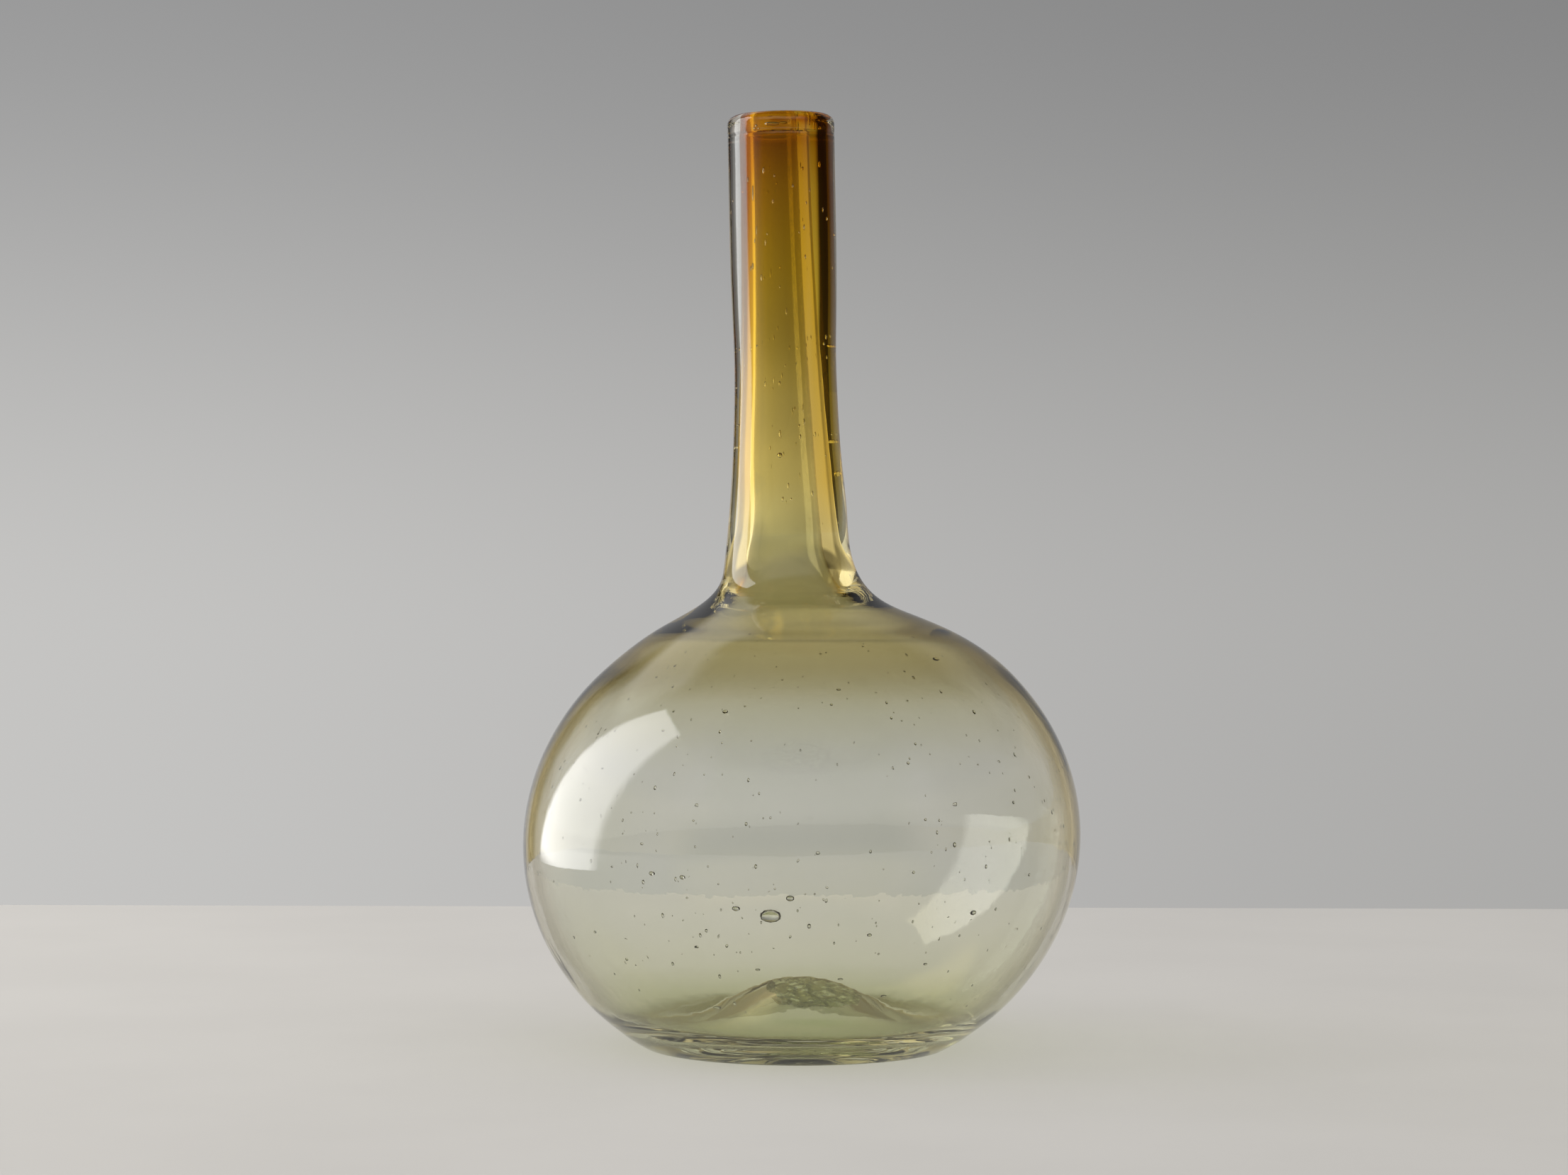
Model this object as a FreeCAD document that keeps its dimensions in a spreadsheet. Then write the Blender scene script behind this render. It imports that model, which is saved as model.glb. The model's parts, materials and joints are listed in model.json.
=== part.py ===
import FreeCAD, Part
import math
import os
import Sketcher

# A long-necked blown flask, modelled as the masses of glass that it was worked from:
#   bulb         the thin pale globe with its thick base, foot ring and pushed-up centre
#   neck         the thick clear tube on the shoulder, up to the lip
#   neck_lining  the coloured layer in the neck's wall, around the bore
#   lip_ring     the band turned over at the mouth
#   pontil_wad   the lump left under the pushed-up centre
#
# Frame: millimetres, +Z up, table at Z = 0, origin on the table under the globe's widest
# girth. The globe leans a little to +X and the neck a little to -X, so most rings of the
# outline have a centre of their own. The front is -Y.

SIZES = {
    "foot_radius": 49.3,         # outer edge of the worn foot ring
    "girth_radius": 89.8,        # globe at its widest
    "globe_half_height": 79.6,   # upright half axis of the globe's oval
    "globe_lean": 1.5,           # degrees
    "crown_radius": 48.9,        # where the globe leaves its oval for the collar
    "crown_shift": 0.7,          # centre of that ring along X
    "collar_rise": 11.8,         # crown up to the seam with the neck
    "collar_hollow": 0.9,        # how far the collar curves in, half way up
    "seam_radius": 26.7,
    "seam_shift": -2.8,
    "flare_rise": 10.0,          # seam up to the neck's root
    "flare_hollow": 1.15,        # how far the flare curves in, half way up
    "root_radius": 21.0,
    "root_shift": -4.3,
    "neck_lean": 1.23,           # degrees, towards -X
    "waist_rise": 68.0,          # root up to the neck's narrowest ring
    "waist_radius": 16.5,
    "grip_length": 28.0,         # even stretch of the neck under the lip
    "grip_radius": 17.25,
    "overall_height": 300.0,     # table to the middle of the mouth
    "globe_wall": 2.6,           # at the girth
    "crown_wall": 3.2,           # at the top of the globe
    "base_thickness": 8.0,       # over the foot ring
    "throat_hollow": 3.0,        # how far the throat curves in under the seam
    "seam_bore": 16.5,           # radius of the hollow at the seam
    "root_bore": 11.8,           # radius of the bore at the neck's root
    "mouth_bore": 7.2,           # radius of the bore under the lip
    "root_bore_shift": -0.4,     # bore off the neck's axis, at the root
    "mouth_bore_shift": -1.25,   # bore off the neck's axis, under the lip
    "lining_rise": 10.0,         # root up to the lining's lower end
    "lining_thin_foot": 0.25,    # lining on the -X side, at its lower end
    "lining_thin_top": 0.35,
    "lining_thick_foot": 0.6,    # lining on the +X side, at its lower end
    "lining_thick_top": 5.6,
    "lip_height": 7.5,
    "lip_radius": 17.3,
    "lip_bore": 6.9,             # radius of the mouth's straight bore
    "lip_rounding": 3.2,
    "lip_bore_rounding": 2.0,
    "lip_fold_rounding": 0.6,    # groove that the fold leaves above the neck
    "foot_rounding": 2.0,        # outer edge of the foot ring
    "kick_height": 14.8,         # underside of the pushed-up centre, above the table
    "kick_slope": 26.0,          # degrees, down its flank
    "kick_rounding": 30.0,       # radius of its round top
    "kick_ring_rounding": 25.0,  # from its flank to the foot ring
    "hill_height": 21.3,         # inside top of the pushed-up centre, above the table
    "hill_slope": 24.0,
    "hill_rounding": 33.0,
    "hill_floor_rounding": 60.0,  # from its flank to the floor around it
    "wad_radius": 15.0,
    "wad_low_radius": 11.0,
    "wad_shift": 4.5,
    "wad_low_shift": 6.0,
    "wad_bottom": 9.6,           # lowest of the wad, above the table
}

# Heights, angles and radii that follow from the sizes, as formulas on their sheet.
FOLLOWING = {
    "foot_angle": "acos(dims.foot_radius / dims.girth_radius)",
    "crown_angle": "acos(dims.crown_radius / dims.girth_radius)",
    "girth": "dims.globe_half_height * sin(foot_angle)",
    "crown": "girth + dims.globe_half_height * sin(crown_angle)",
    "seam": "crown + dims.collar_rise",
    "root": "seam + dims.flare_rise",
    "waist": "root + dims.waist_rise",
    "mouth": "dims.overall_height - dims.lip_height * cos(dims.neck_lean)",
    "grip": "mouth - dims.grip_length",
    "lining": "root + dims.lining_rise",
    "lining_share": "(mouth - lining) / (mouth - root)",
    "cavity_radius": "dims.girth_radius - dims.globe_wall",
    "cavity_half": "dims.globe_half_height - dims.crown_wall",
    "cavity_crown": "girth + cavity_half * sin(crown_angle)",
    "floor_angle": "asin((girth - dims.base_thickness) / cavity_half)",
}

GLOBE_STEPS = 9      # rings up the globe, from the foot to the crown
TAPER_STEPS = 4      # rings up the neck, from its root to its waist
SWELL_STEPS = 3      # rings up the neck, from its waist to its grip
BORE_STEPS = 6       # rings along the lining
PAST = 3.0           # how far a shape runs past the face that it is cut or joined at

doc = FreeCAD.newDocument("long_necked_flask")


def new_sheet(name, cells, prefix=""):
    """A spreadsheet with one named cell a row."""
    made = doc.addObject("Spreadsheet::Sheet", name)
    for row, (alias, value) in enumerate(cells.items(), start=1):
        made.set(f"A{row}", alias)
        made.set(f"B{row}", f"{prefix}{value}")
        made.setAlias(f"B{row}", alias)
        doc.recompute()
    return made


new_sheet("dims", SIZES)
new_sheet("levels", FOLLOWING, prefix="=")


# ---------------------------------------------------------------- rings and lofts
# Heights, places and radii are passed as expressions on the two sheets, so the model
# follows a changed cell.

def between(low, high, share):
    """The expression that lies a share of the way from low to high."""
    return f"({low} + ({high} - {low}) * {share})"


def new_body(name):
    """A sub-part's body, whose Label is the name of its file."""
    body = doc.addObject("PartDesign::Body", name)
    body.Label = name
    return body


def new_sketch(body, name, role):
    """An empty sketch on one of the body's own origin planes."""
    sketch = body.newObject("Sketcher::SketchObject", name)
    plane = next(f for f in body.Origin.OriginFeatures if f.Role == role)
    sketch.AttachmentSupport = [(plane, "")]
    sketch.MapMode = "FlatFace"
    return sketch


def ring(body, name, height, across, radius, tilt="0", aside="0"):
    """A circle about the outline's middle line.

    height and across place its plane, tilt leans the plane to -X in degrees, and aside
    moves the circle off the middle line, along the plane.
    """
    sketch = new_sketch(body, name, "XY_Plane")
    sketch.addGeometry(Part.Circle(FreeCAD.Vector(), FreeCAD.Vector(0, 0, 1), 10.0), False)
    sketch.addConstraint(Sketcher.Constraint("Coincident", 0, 3, -1, 1))
    sketch.renameConstraint(sketch.addConstraint(Sketcher.Constraint("Radius", 0, 10.0)), "radius")
    sketch.setExpression("Constraints.radius", radius)
    about_y = FreeCAD.Rotation(FreeCAD.Vector(0, 1, 0), -1.0)
    sketch.AttachmentOffset = FreeCAD.Placement(FreeCAD.Vector(), about_y)
    sketch.setExpression("AttachmentOffset.Rotation.Angle", f"-1 * ({tilt})")
    sketch.setExpression("AttachmentOffset.Base.x", f"{across} + ({aside}) * cos({tilt})")
    sketch.setExpression("AttachmentOffset.Base.z", f"{height} + ({aside}) * sin({tilt})")
    return sketch


def loft(body, name, rings, cuts=False):
    """A smooth skin through rings, added to the body or cut from it."""
    feature = body.newObject(f"PartDesign::{'Subtractive' if cuts else 'Additive'}Loft", name)
    feature.Profile = rings[0]
    feature.Sections = rings[1:]
    doc.recompute()
    return feature


def globe_rings(body, prefix, wide, half, low_angle, crown, seam_radius, hollow, aside="0"):
    """Rings up the globe's oval to the crown, then in over the collar to the seam."""
    rings = []
    for step in range(GLOBE_STEPS):
        angle = between(f"-1 * {low_angle}", "levels.crown_angle", step / GLOBE_STEPS)
        rise = f"{half} * sin({angle})"
        rings.append(ring(
            body, f"{prefix}{step}", f"levels.girth + {rise}", f"tan(dims.globe_lean) * {rise}",
            f"{wide} * cos({angle})"))
    crown_radius = f"{wide} * cos(levels.crown_angle)"
    rings.append(ring(body, f"{prefix}Crown", crown, "dims.crown_shift", crown_radius))
    rings.append(ring(
        body, f"{prefix}Collar", between(crown, "levels.seam", 0.5),
        between("dims.crown_shift", "dims.seam_shift", 0.5),
        f"{between(crown_radius, seam_radius, 0.5)} - {hollow}", aside=f"0.5 * {aside}"))
    rings.append(ring(
        body, f"{prefix}Seam", "levels.seam", "dims.seam_shift", seam_radius, aside=aside))
    return rings


def flare_rings(body, prefix, seam_radius, root_radius, hollow, aside="0"):
    """The level ring at the seam and the ring half way from it to the neck's root."""
    return [
        ring(body, f"{prefix}Seam", "levels.seam", "dims.seam_shift", seam_radius, aside=aside),
        ring(
            body, f"{prefix}Flare", between("levels.seam", "levels.root", 0.5),
            between("dims.seam_shift", "dims.root_shift", 0.5),
            f"{between(seam_radius, root_radius, 0.5)} - {hollow}",
            tilt="0.5 * dims.neck_lean", aside=aside),
    ]


def neck_ring(body, name, height, radius, aside="0"):
    """A ring square to the neck's leaning middle line."""
    across = f"(dims.root_shift - tan(dims.neck_lean) * ({height} - levels.root))"
    return ring(body, name, height, across, radius, tilt="dims.neck_lean", aside=aside)


def neck_rings(body, prefix):
    """Outside of the neck: it tapers to its waist, then swells to its grip."""
    root, waist, grip = "dims.root_radius", "dims.waist_radius", "dims.grip_radius"
    rings = []
    for step in range(TAPER_STEPS):
        left = (1 - step / TAPER_STEPS) ** 2
        height = between("levels.root", "levels.waist", step / TAPER_STEPS)
        rings.append(neck_ring(body, f"{prefix}Taper{step}", height, between(waist, root, left)))
    for step in range(SWELL_STEPS + 1):
        gained = math.sin(math.pi / 2 * step / SWELL_STEPS)
        height = between("levels.waist", "levels.grip", step / SWELL_STEPS)
        rings.append(neck_ring(body, f"{prefix}Swell{step}", height, between(waist, grip, gained)))
    return rings


def bore_at(left):
    """Radius of the bore and its place off the neck's axis, by the share of neck left above."""
    radius = between("dims.mouth_bore", "dims.root_bore", f"({left})^2")
    aside = between("dims.mouth_bore_shift", "dims.root_bore_shift", left)
    return radius, aside


def lining_rings(body, prefix, outside):
    """Rings up the lining: its inside is the bore, and its outside lies off the bore's axis."""
    rings = []
    for step in range(BORE_STEPS + 1):
        share = step / BORE_STEPS
        radius, aside = bore_at(f"{1 - share} * levels.lining_share")
        if outside:
            thin = between("dims.lining_thin_foot", "dims.lining_thin_top", share)
            thick = between("dims.lining_thick_foot", "dims.lining_thick_top", share)
            radius = f"{radius} + ({thin} + {thick}) / 2"
            aside = f"{aside} + ({thick} - {thin}) / 2"
        height = between("levels.lining", "levels.mouth", share)
        rings.append(neck_ring(body, f"{prefix}{step}", height, radius, aside=aside))
    return rings


# ---------------------------------------------------------------- domes under the globe

def joined_lines(sketch, points, after):
    """Straight lines through points, joined end to end and to an end of what is there.

    after is a geometry's number and which of its ends. Returns the last line's number.
    """
    for start, end in zip(points, points[1:]):
        line = sketch.addGeometry(Part.LineSegment(start, end), False)
        sketch.addConstraint(Sketcher.Constraint("Coincident", after[0], after[1], line, 1))
        after = (line, 2)
    return after[0]


def set_size(sketch, name, number, expression):
    """Names a sketch's constraint and binds it to an expression."""
    sketch.renameConstraint(number, name)
    sketch.setExpression(f"Constraints.{name}", expression)


def dome(body, name, low, top, rounding, slope, above=False, cuts=False):
    """Turns a dome with a round top and a straight flank about the upright through the origin.

    The flank reaches the low height and runs on PAST it. With above, the solid is the space
    over the dome instead. top, rounding and slope are names of sizes, and low is one or "0".
    """
    low_z = "0" if low == "0" else f"dims.{low}"
    rise = SIZES[top] - SIZES.get(low, 0.0)
    radius, lean = SIZES[rounding], math.radians(SIZES[slope])
    turn = FreeCAD.Vector(radius * math.sin(lean), rise - radius * (1 - math.cos(lean)), 0)
    toe = FreeCAD.Vector(turn.x + (turn.y + PAST) / math.tan(lean), -PAST, 0)
    apex = FreeCAD.Vector(0, rise, 0)

    sketch = new_sketch(body, f"{name}Section", "XZ_Plane")
    sketch.setExpression("AttachmentOffset.Base.y", low_z)
    around = Part.Circle(apex - FreeCAD.Vector(0, radius, 0), FreeCAD.Vector(0, 0, 1), radius)
    cap = sketch.addGeometry(Part.ArcOfCircle(around, math.pi / 2 - lean, math.pi / 2), False)
    flank = sketch.addGeometry(Part.LineSegment(turn, toe), False)
    sketch.addConstraint(Sketcher.Constraint("Tangent", cap, 1, flank, 1))
    if above:
        corner = FreeCAD.Vector(toe.x, rise + PAST, 0)
        corners = [toe, corner, FreeCAD.Vector(0, corner.y, 0), apex]
    else:
        corners = [toe, FreeCAD.Vector(0, toe.y, 0), apex]
    last = joined_lines(sketch, corners, (flank, 2))
    level = last - 1
    sketch.addConstraint(Sketcher.Constraint("Coincident", last, 2, cap, 2))
    sketch.addConstraint(Sketcher.Constraint("Horizontal", level))
    sketch.addConstraint(Sketcher.Constraint("PointOnObject", cap, 3, -2))
    sketch.addConstraint(Sketcher.Constraint("PointOnObject", cap, 2, -2))
    sketch.addConstraint(Sketcher.Constraint("PointOnObject", level, 2, -2))
    height = sketch.addConstraint(Sketcher.Constraint("DistanceY", -1, 1, cap, 2, rise))
    set_size(sketch, "rise", height, f"dims.{top} - {low_z}")
    set_size(sketch, "rounding", sketch.addConstraint(
        Sketcher.Constraint("Radius", cap, radius)), f"dims.{rounding}")
    set_size(sketch, "slope", sketch.addConstraint(
        Sketcher.Constraint("Angle", -1, 1, flank, 1, -lean)), f"-1 * dims.{slope}")
    sketch.addConstraint(Sketcher.Constraint("DistanceY", flank, 2, -1, 1, PAST))
    if above:
        sketch.addConstraint(Sketcher.Constraint("Vertical", level - 1))
        sketch.addConstraint(Sketcher.Constraint("DistanceY", cap, 2, level, 2, PAST))
    doc.recompute()
    kind = "Groove" if cuts else "Revolution"
    feature = body.newObject(f"PartDesign::{kind}", name)
    feature.Profile = sketch
    feature.ReferenceAxis = (sketch, ["V_Axis"])
    feature.Angle = 360.0
    doc.recompute()
    return feature


def level_edges(shape, height):
    """Names of the edges that lie level at a height, the shortest first."""
    found = []
    for number, edge in enumerate(shape.Edges, start=1):
        box = edge.BoundBox
        if abs(box.ZMin - height) < 0.01 and abs(box.ZMax - height) < 0.01:
            found.append((edge.Length, f"Edge{number}"))
    return [name for _, name in sorted(found)]


def round_edge(body, name, feature, edge, radius):
    """Rounds one edge of the body's last feature."""
    fillet = body.newObject("PartDesign::Fillet", name)
    fillet.Base = (feature, [edge])
    fillet.setExpression("Radius", f"dims.{radius}")
    doc.recompute()
    return fillet


# ---------------------------------------------------------------- bulb

bulb = new_body("bulb")
loft(bulb, "Globe", globe_rings(
    bulb, "Outer", "dims.girth_radius", "dims.globe_half_height", "levels.foot_angle",
    "levels.crown", "dims.seam_radius", "dims.collar_hollow"))
loft(bulb, "Cavity", globe_rings(
    bulb, "Inner", "levels.cavity_radius", "levels.cavity_half", "levels.floor_angle",
    "levels.cavity_crown", "dims.seam_bore", "dims.throat_hollow",
    aside="dims.root_bore_shift"), cuts=True)
hill = dome(bulb, "Hill", "base_thickness", "hill_height", "hill_rounding", "hill_slope")
hill = round_edge(bulb, "HillFoot", hill, level_edges(hill.Shape, SIZES["base_thickness"])[0],
                  "hill_floor_rounding")
kick = dome(bulb, "Kick", "0", "kick_height", "kick_rounding", "kick_slope", cuts=True)
kick = round_edge(bulb, "KickRing", kick, level_edges(kick.Shape, 0.0)[0], "kick_ring_rounding")
round_edge(bulb, "FootEdge", kick, level_edges(kick.Shape, 0.0)[-1], "foot_rounding")

# ---------------------------------------------------------------- neck and its lining

neck = new_body("neck")
loft(neck, "Tube", flare_rings(
    neck, "Outer", "dims.seam_radius", "dims.root_radius", "dims.flare_hollow")
    + neck_rings(neck, "Outer"))
even = neck.newObject("PartDesign::Pad", "Grip")
even.Profile = neck_ring(neck, "GripOutline", "levels.grip", "dims.grip_radius")
even.setExpression("Length", "(levels.mouth - levels.grip) / cos(dims.neck_lean)")
doc.recompute()
throat = flare_rings(neck, "Throat", "dims.seam_bore", "dims.root_bore", "dims.flare_hollow",
                     aside="dims.root_bore_shift")
for height, left in (("levels.root", "1"),
                     (between("levels.root", "levels.lining", 0.5), "(1 + levels.lining_share) / 2"),
                     ("levels.lining", "levels.lining_share")):
    bore, off_axis = bore_at(left)
    throat.append(neck_ring(neck, f"Throat{len(throat)}", height, bore, aside=off_axis))
loft(neck, "Throat", throat, cuts=True)
loft(neck, "Casing", lining_rings(neck, "Casing", outside=True), cuts=True)

neck_lining = new_body("neck_lining")
loft(neck_lining, "Layer", lining_rings(neck_lining, "Outer", outside=True))
loft(neck_lining, "Bore", lining_rings(neck_lining, "Bore", outside=False), cuts=True)

# ---------------------------------------------------------------- lip

lip = new_body("lip_ring")
lip.Placement = FreeCAD.Placement(
    FreeCAD.Vector(), FreeCAD.Rotation(FreeCAD.Vector(0, 1, 0), -1.0))
lip.setExpression("Placement.Rotation.Angle", "-1 * dims.neck_lean")
lip.setExpression(
    "Placement.Base.x", "dims.root_shift - tan(dims.neck_lean) * (levels.mouth - levels.root)")
lip.setExpression("Placement.Base.z", "levels.mouth")
band = lip.newObject("PartDesign::Pad", "Band")
band.Profile = ring(lip, "Outline", "0", "0", "dims.lip_radius")
band.setExpression("Length", "dims.lip_height")
doc.recompute()
opening = lip.newObject("PartDesign::Pocket", "Opening")
opening.Profile = ring(lip, "OpeningOutline", "dims.lip_height", "0", "dims.lip_bore",
                       aside="dims.mouth_bore_shift")
opening.Type = "ThroughAll"
doc.recompute()
rim = round_edge(lip, "Rim", opening, level_edges(opening.Shape, SIZES["lip_height"])[-1], "lip_rounding")
rim = round_edge(lip, "BoreRim", rim, level_edges(rim.Shape, SIZES["lip_height"])[0], "lip_bore_rounding")
round_edge(lip, "Fold", rim, level_edges(rim.Shape, 0.0)[-1], "lip_fold_rounding")

# ---------------------------------------------------------------- pontil wad

wad = new_body("pontil_wad")
loft(wad, "Lump", [
    ring(wad, "Low", "dims.wad_bottom", "dims.wad_low_shift", "dims.wad_low_radius"),
    ring(wad, "Middle", between("dims.wad_bottom", "dims.kick_height", 0.5),
         between("dims.wad_low_shift", "dims.wad_shift", 0.7), "dims.wad_radius"),
    ring(wad, "High", "dims.kick_height", "dims.wad_shift", "dims.wad_radius"),
])
dome(wad, "UnderKick", "0", "kick_height", "kick_rounding", "kick_slope", above=True, cuts=True)

# ---------------------------------------------------------------- checks and files

SUB_PARTS = (bulb, neck, neck_lining, lip, wad)
doc.recompute()
for made in doc.Objects:
    if {"Invalid", "Error"} & set(made.State):
        raise RuntimeError(f"{made.Name} failed: {made.State}")
os.makedirs("parts", exist_ok=True)
for body in SUB_PARTS:
    shape = body.Shape
    if shape.isNull() or not shape.isValid() or len(shape.Solids) != 1:
        raise RuntimeError(f"{body.Label} isn't one valid solid")
    box = shape.BoundBox
    print(f"{body.Label}: {shape.Volume:.0f} mm3, X {box.XMin:.2f} to {box.XMax:.2f}, "
          f"Z {box.ZMin:.2f} to {box.ZMax:.2f}")
    shape.exportStep(f"parts/{body.Label}.step")
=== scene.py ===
import json
import logging
import math
from collections.abc import Sequence
from dataclasses import dataclass, field
from enum import Enum
from functools import cache

import bmesh
import bpy
import numpy as np
from mathutils import Euler, Matrix, Vector, noise


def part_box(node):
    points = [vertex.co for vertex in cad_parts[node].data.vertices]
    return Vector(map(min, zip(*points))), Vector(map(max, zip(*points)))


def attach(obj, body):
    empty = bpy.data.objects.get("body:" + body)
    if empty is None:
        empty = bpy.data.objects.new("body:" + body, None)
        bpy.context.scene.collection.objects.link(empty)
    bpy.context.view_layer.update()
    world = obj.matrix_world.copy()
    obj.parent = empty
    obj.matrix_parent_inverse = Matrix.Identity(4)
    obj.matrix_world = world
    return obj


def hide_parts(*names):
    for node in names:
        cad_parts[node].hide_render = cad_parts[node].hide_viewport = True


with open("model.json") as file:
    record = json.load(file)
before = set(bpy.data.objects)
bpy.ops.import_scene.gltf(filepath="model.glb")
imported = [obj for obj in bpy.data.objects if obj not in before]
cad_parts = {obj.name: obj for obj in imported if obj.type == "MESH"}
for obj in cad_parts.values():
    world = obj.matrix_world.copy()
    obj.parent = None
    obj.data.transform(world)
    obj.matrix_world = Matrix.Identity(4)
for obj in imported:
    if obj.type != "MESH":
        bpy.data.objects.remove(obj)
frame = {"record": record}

LOG = logging.getLogger("flask")
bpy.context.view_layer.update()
MM = 0.001
SEGMENTS = 192  # points round every ring

Colour = tuple[float, float, float]
WHITE: Colour = (1.0, 1.0, 1.0)


# ------------------------------------------------------------------ shader helpers


class Operation(Enum):
    """Math node operations that expressions on shader values use."""

    ADD = "ADD"
    SUBTRACT = "SUBTRACT"
    MULTIPLY = "MULTIPLY"


@dataclass(frozen=True)
class Value:
    """One output of a shader node, on which sums can be written."""

    recipe: "Recipe"
    socket: bpy.types.NodeSocket

    def _sum(self, operation: Operation, first: "Feed", second: "Feed") -> "Value":
        """Adds the Math node of one sum and gives its output."""
        return self.recipe.node(
            "ShaderNodeMath", {"operation": operation.value}, {0: first, 1: second})

    def __add__(self, other: "Feed") -> "Value":
        """This plus the other."""
        return self._sum(Operation.ADD, self, other)

    def __radd__(self, other: "Feed") -> "Value":
        """The other plus this."""
        return self._sum(Operation.ADD, other, self)

    def __sub__(self, other: "Feed") -> "Value":
        """This less the other."""
        return self._sum(Operation.SUBTRACT, self, other)

    def __rsub__(self, other: "Feed") -> "Value":
        """The other less this."""
        return self._sum(Operation.SUBTRACT, other, self)

    def __mul__(self, other: "Feed") -> "Value":
        """This times the other."""
        return self._sum(Operation.MULTIPLY, self, other)

    def __rmul__(self, other: "Feed") -> "Value":
        """The other times this."""
        return self._sum(Operation.MULTIPLY, other, self)


Feed = Value | float | tuple


class Recipe:
    """The node tree of one material, lamp or world."""

    def __init__(self, tree: bpy.types.NodeTree) -> None:
        """Takes a node tree to write in, and empties it."""
        self.tree = tree
        tree.nodes.clear()

    def node(
        self, kind: str, settings: dict | None = None, feeds: dict | None = None, output: int | str = 0
    ) -> Value:
        """Adds one node: its settings first, then its inputs.

        Args:
            kind: The node's type.
            settings: Values of its own properties; "stops" are a ramp's (place, colour) pairs.
            feeds: A number, colour or other node's output, by socket name or number.
            output: Which output to hand back.

        Returns:
            That output.
        """
        made = self.tree.nodes.new(kind)
        for name, setting in (settings or {}).items():
            if name == "stops":
                ramp = made.color_ramp.elements
                while len(ramp) < len(setting):
                    ramp.new(0.5)
                for element, (place, colour) in zip(ramp, setting):
                    element.position, element.color = place, (*colour, 1.0)
            else:
                setattr(made, name, setting)
        for key, feed in (feeds or {}).items():
            if isinstance(feed, Value):
                self.tree.links.new(feed.socket, made.inputs[key])
            elif made.inputs[key].type == "RGBA":
                made.inputs[key].default_value = (*feed, 1.0)
            else:
                made.inputs[key].default_value = feed
        return Value(self, made.outputs[output] if made.outputs else None)

    def blend(self, share: Feed, first: Feed, second: Feed) -> Value:
        """Mixes two colours, with so great a share of the second."""
        return self.node("ShaderNodeMix", {"data_type": "RGBA"}, {0: share, 6: first, 7: second}, 2)

    def tinted(self, first: Feed, second: Feed) -> Value:
        """Multiplies two colours."""
        return self.node("ShaderNodeMix", {"data_type": "RGBA", "blend_type": "MULTIPLY"},
                         {0: 1.0, 6: first, 7: second}, 2)

    def clear(self, tint: Colour) -> Value:
        """A shader that lets every ray straight through and tints it."""
        return self.node("ShaderNodeBsdfTransparent", None, {"Color": tint})

    def band(
        self, source: Feed, low: float, high: float, to: tuple[float, float] = (0.0, 1.0)
    ) -> Value:
        """Maps a value from the range low to high to the range in to, with soft ends."""
        return self.node("ShaderNodeMapRange", {"interpolation_type": "SMOOTHSTEP"}, {
            "Value": source, "From Min": low, "From Max": high, "To Min": to[0], "To Max": to[1]})

    def cloud(self, place: Feed, scale: float, detail: float = 2.0, warp: float = 0.0) -> Value:
        """Soft noise from 0 to 1: lumps a metre, finer layers, and how far it is pulled about."""
        return self.node("ShaderNodeTexNoise", None, {
            "Vector": place, "Scale": scale, "Detail": detail, "Distortion": warp})

    def part(self, place: Feed, axis: str) -> Value:
        """The X, Y or Z of a place or direction."""
        return self.node("ShaderNodeSeparateXYZ", None, {"Vector": place}, axis)

    def ramp(self, height: Feed, rows: Sequence[tuple[float, Colour]]) -> Value:
        """A colour by height.

        Args:
            height: The height in metres.
            rows: Heights in mm and the colour at each.

        Returns:
            The colour.
        """
        low, high = rows[0][0] * MM, rows[-1][0] * MM
        share = self.node(
            "ShaderNodeMapRange", None, {"Value": height, "From Min": low, "From Max": high})
        stops = [((z * MM - low) / (high - low), colour) for z, colour in rows]
        return self.node("ShaderNodeValToRGB", {"stops": stops}, {"Fac": share})

    def path(self, output: str) -> Value:
        """What kind of ray it is, or how often it was bent or mirrored."""
        return self.node("ShaderNodeLightPath", output=output)

    def along(self) -> Value:
        """0 where the glass is met square, and 1 where a ray runs along it."""
        return self.node("ShaderNodeLayerWeight", None, {"Blend": 0.5}, "Facing")

    def stretched(self, place: Feed, by: tuple[float, float, float]) -> Value:
        """Multiplies a place by factors along X, Y and Z."""
        return self.node("ShaderNodeVectorMath", {"operation": "MULTIPLY"}, {0: place, 1: by})


class SurfaceRecipe(Recipe):
    """The node tree of one finish, with the surface point that it works at."""

    def __init__(self, tree: bpy.types.NodeTree) -> None:
        """Takes a finish's node tree, and finds the surface point and its height in metres.

        Args:
            tree: The node tree.
        """
        super().__init__(tree)
        self.place = self.node("ShaderNodeTexCoord", output="Object")
        self.height = self.part(self.place, "Z")


# ------------------------------------------------------------------ glass finishes


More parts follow.
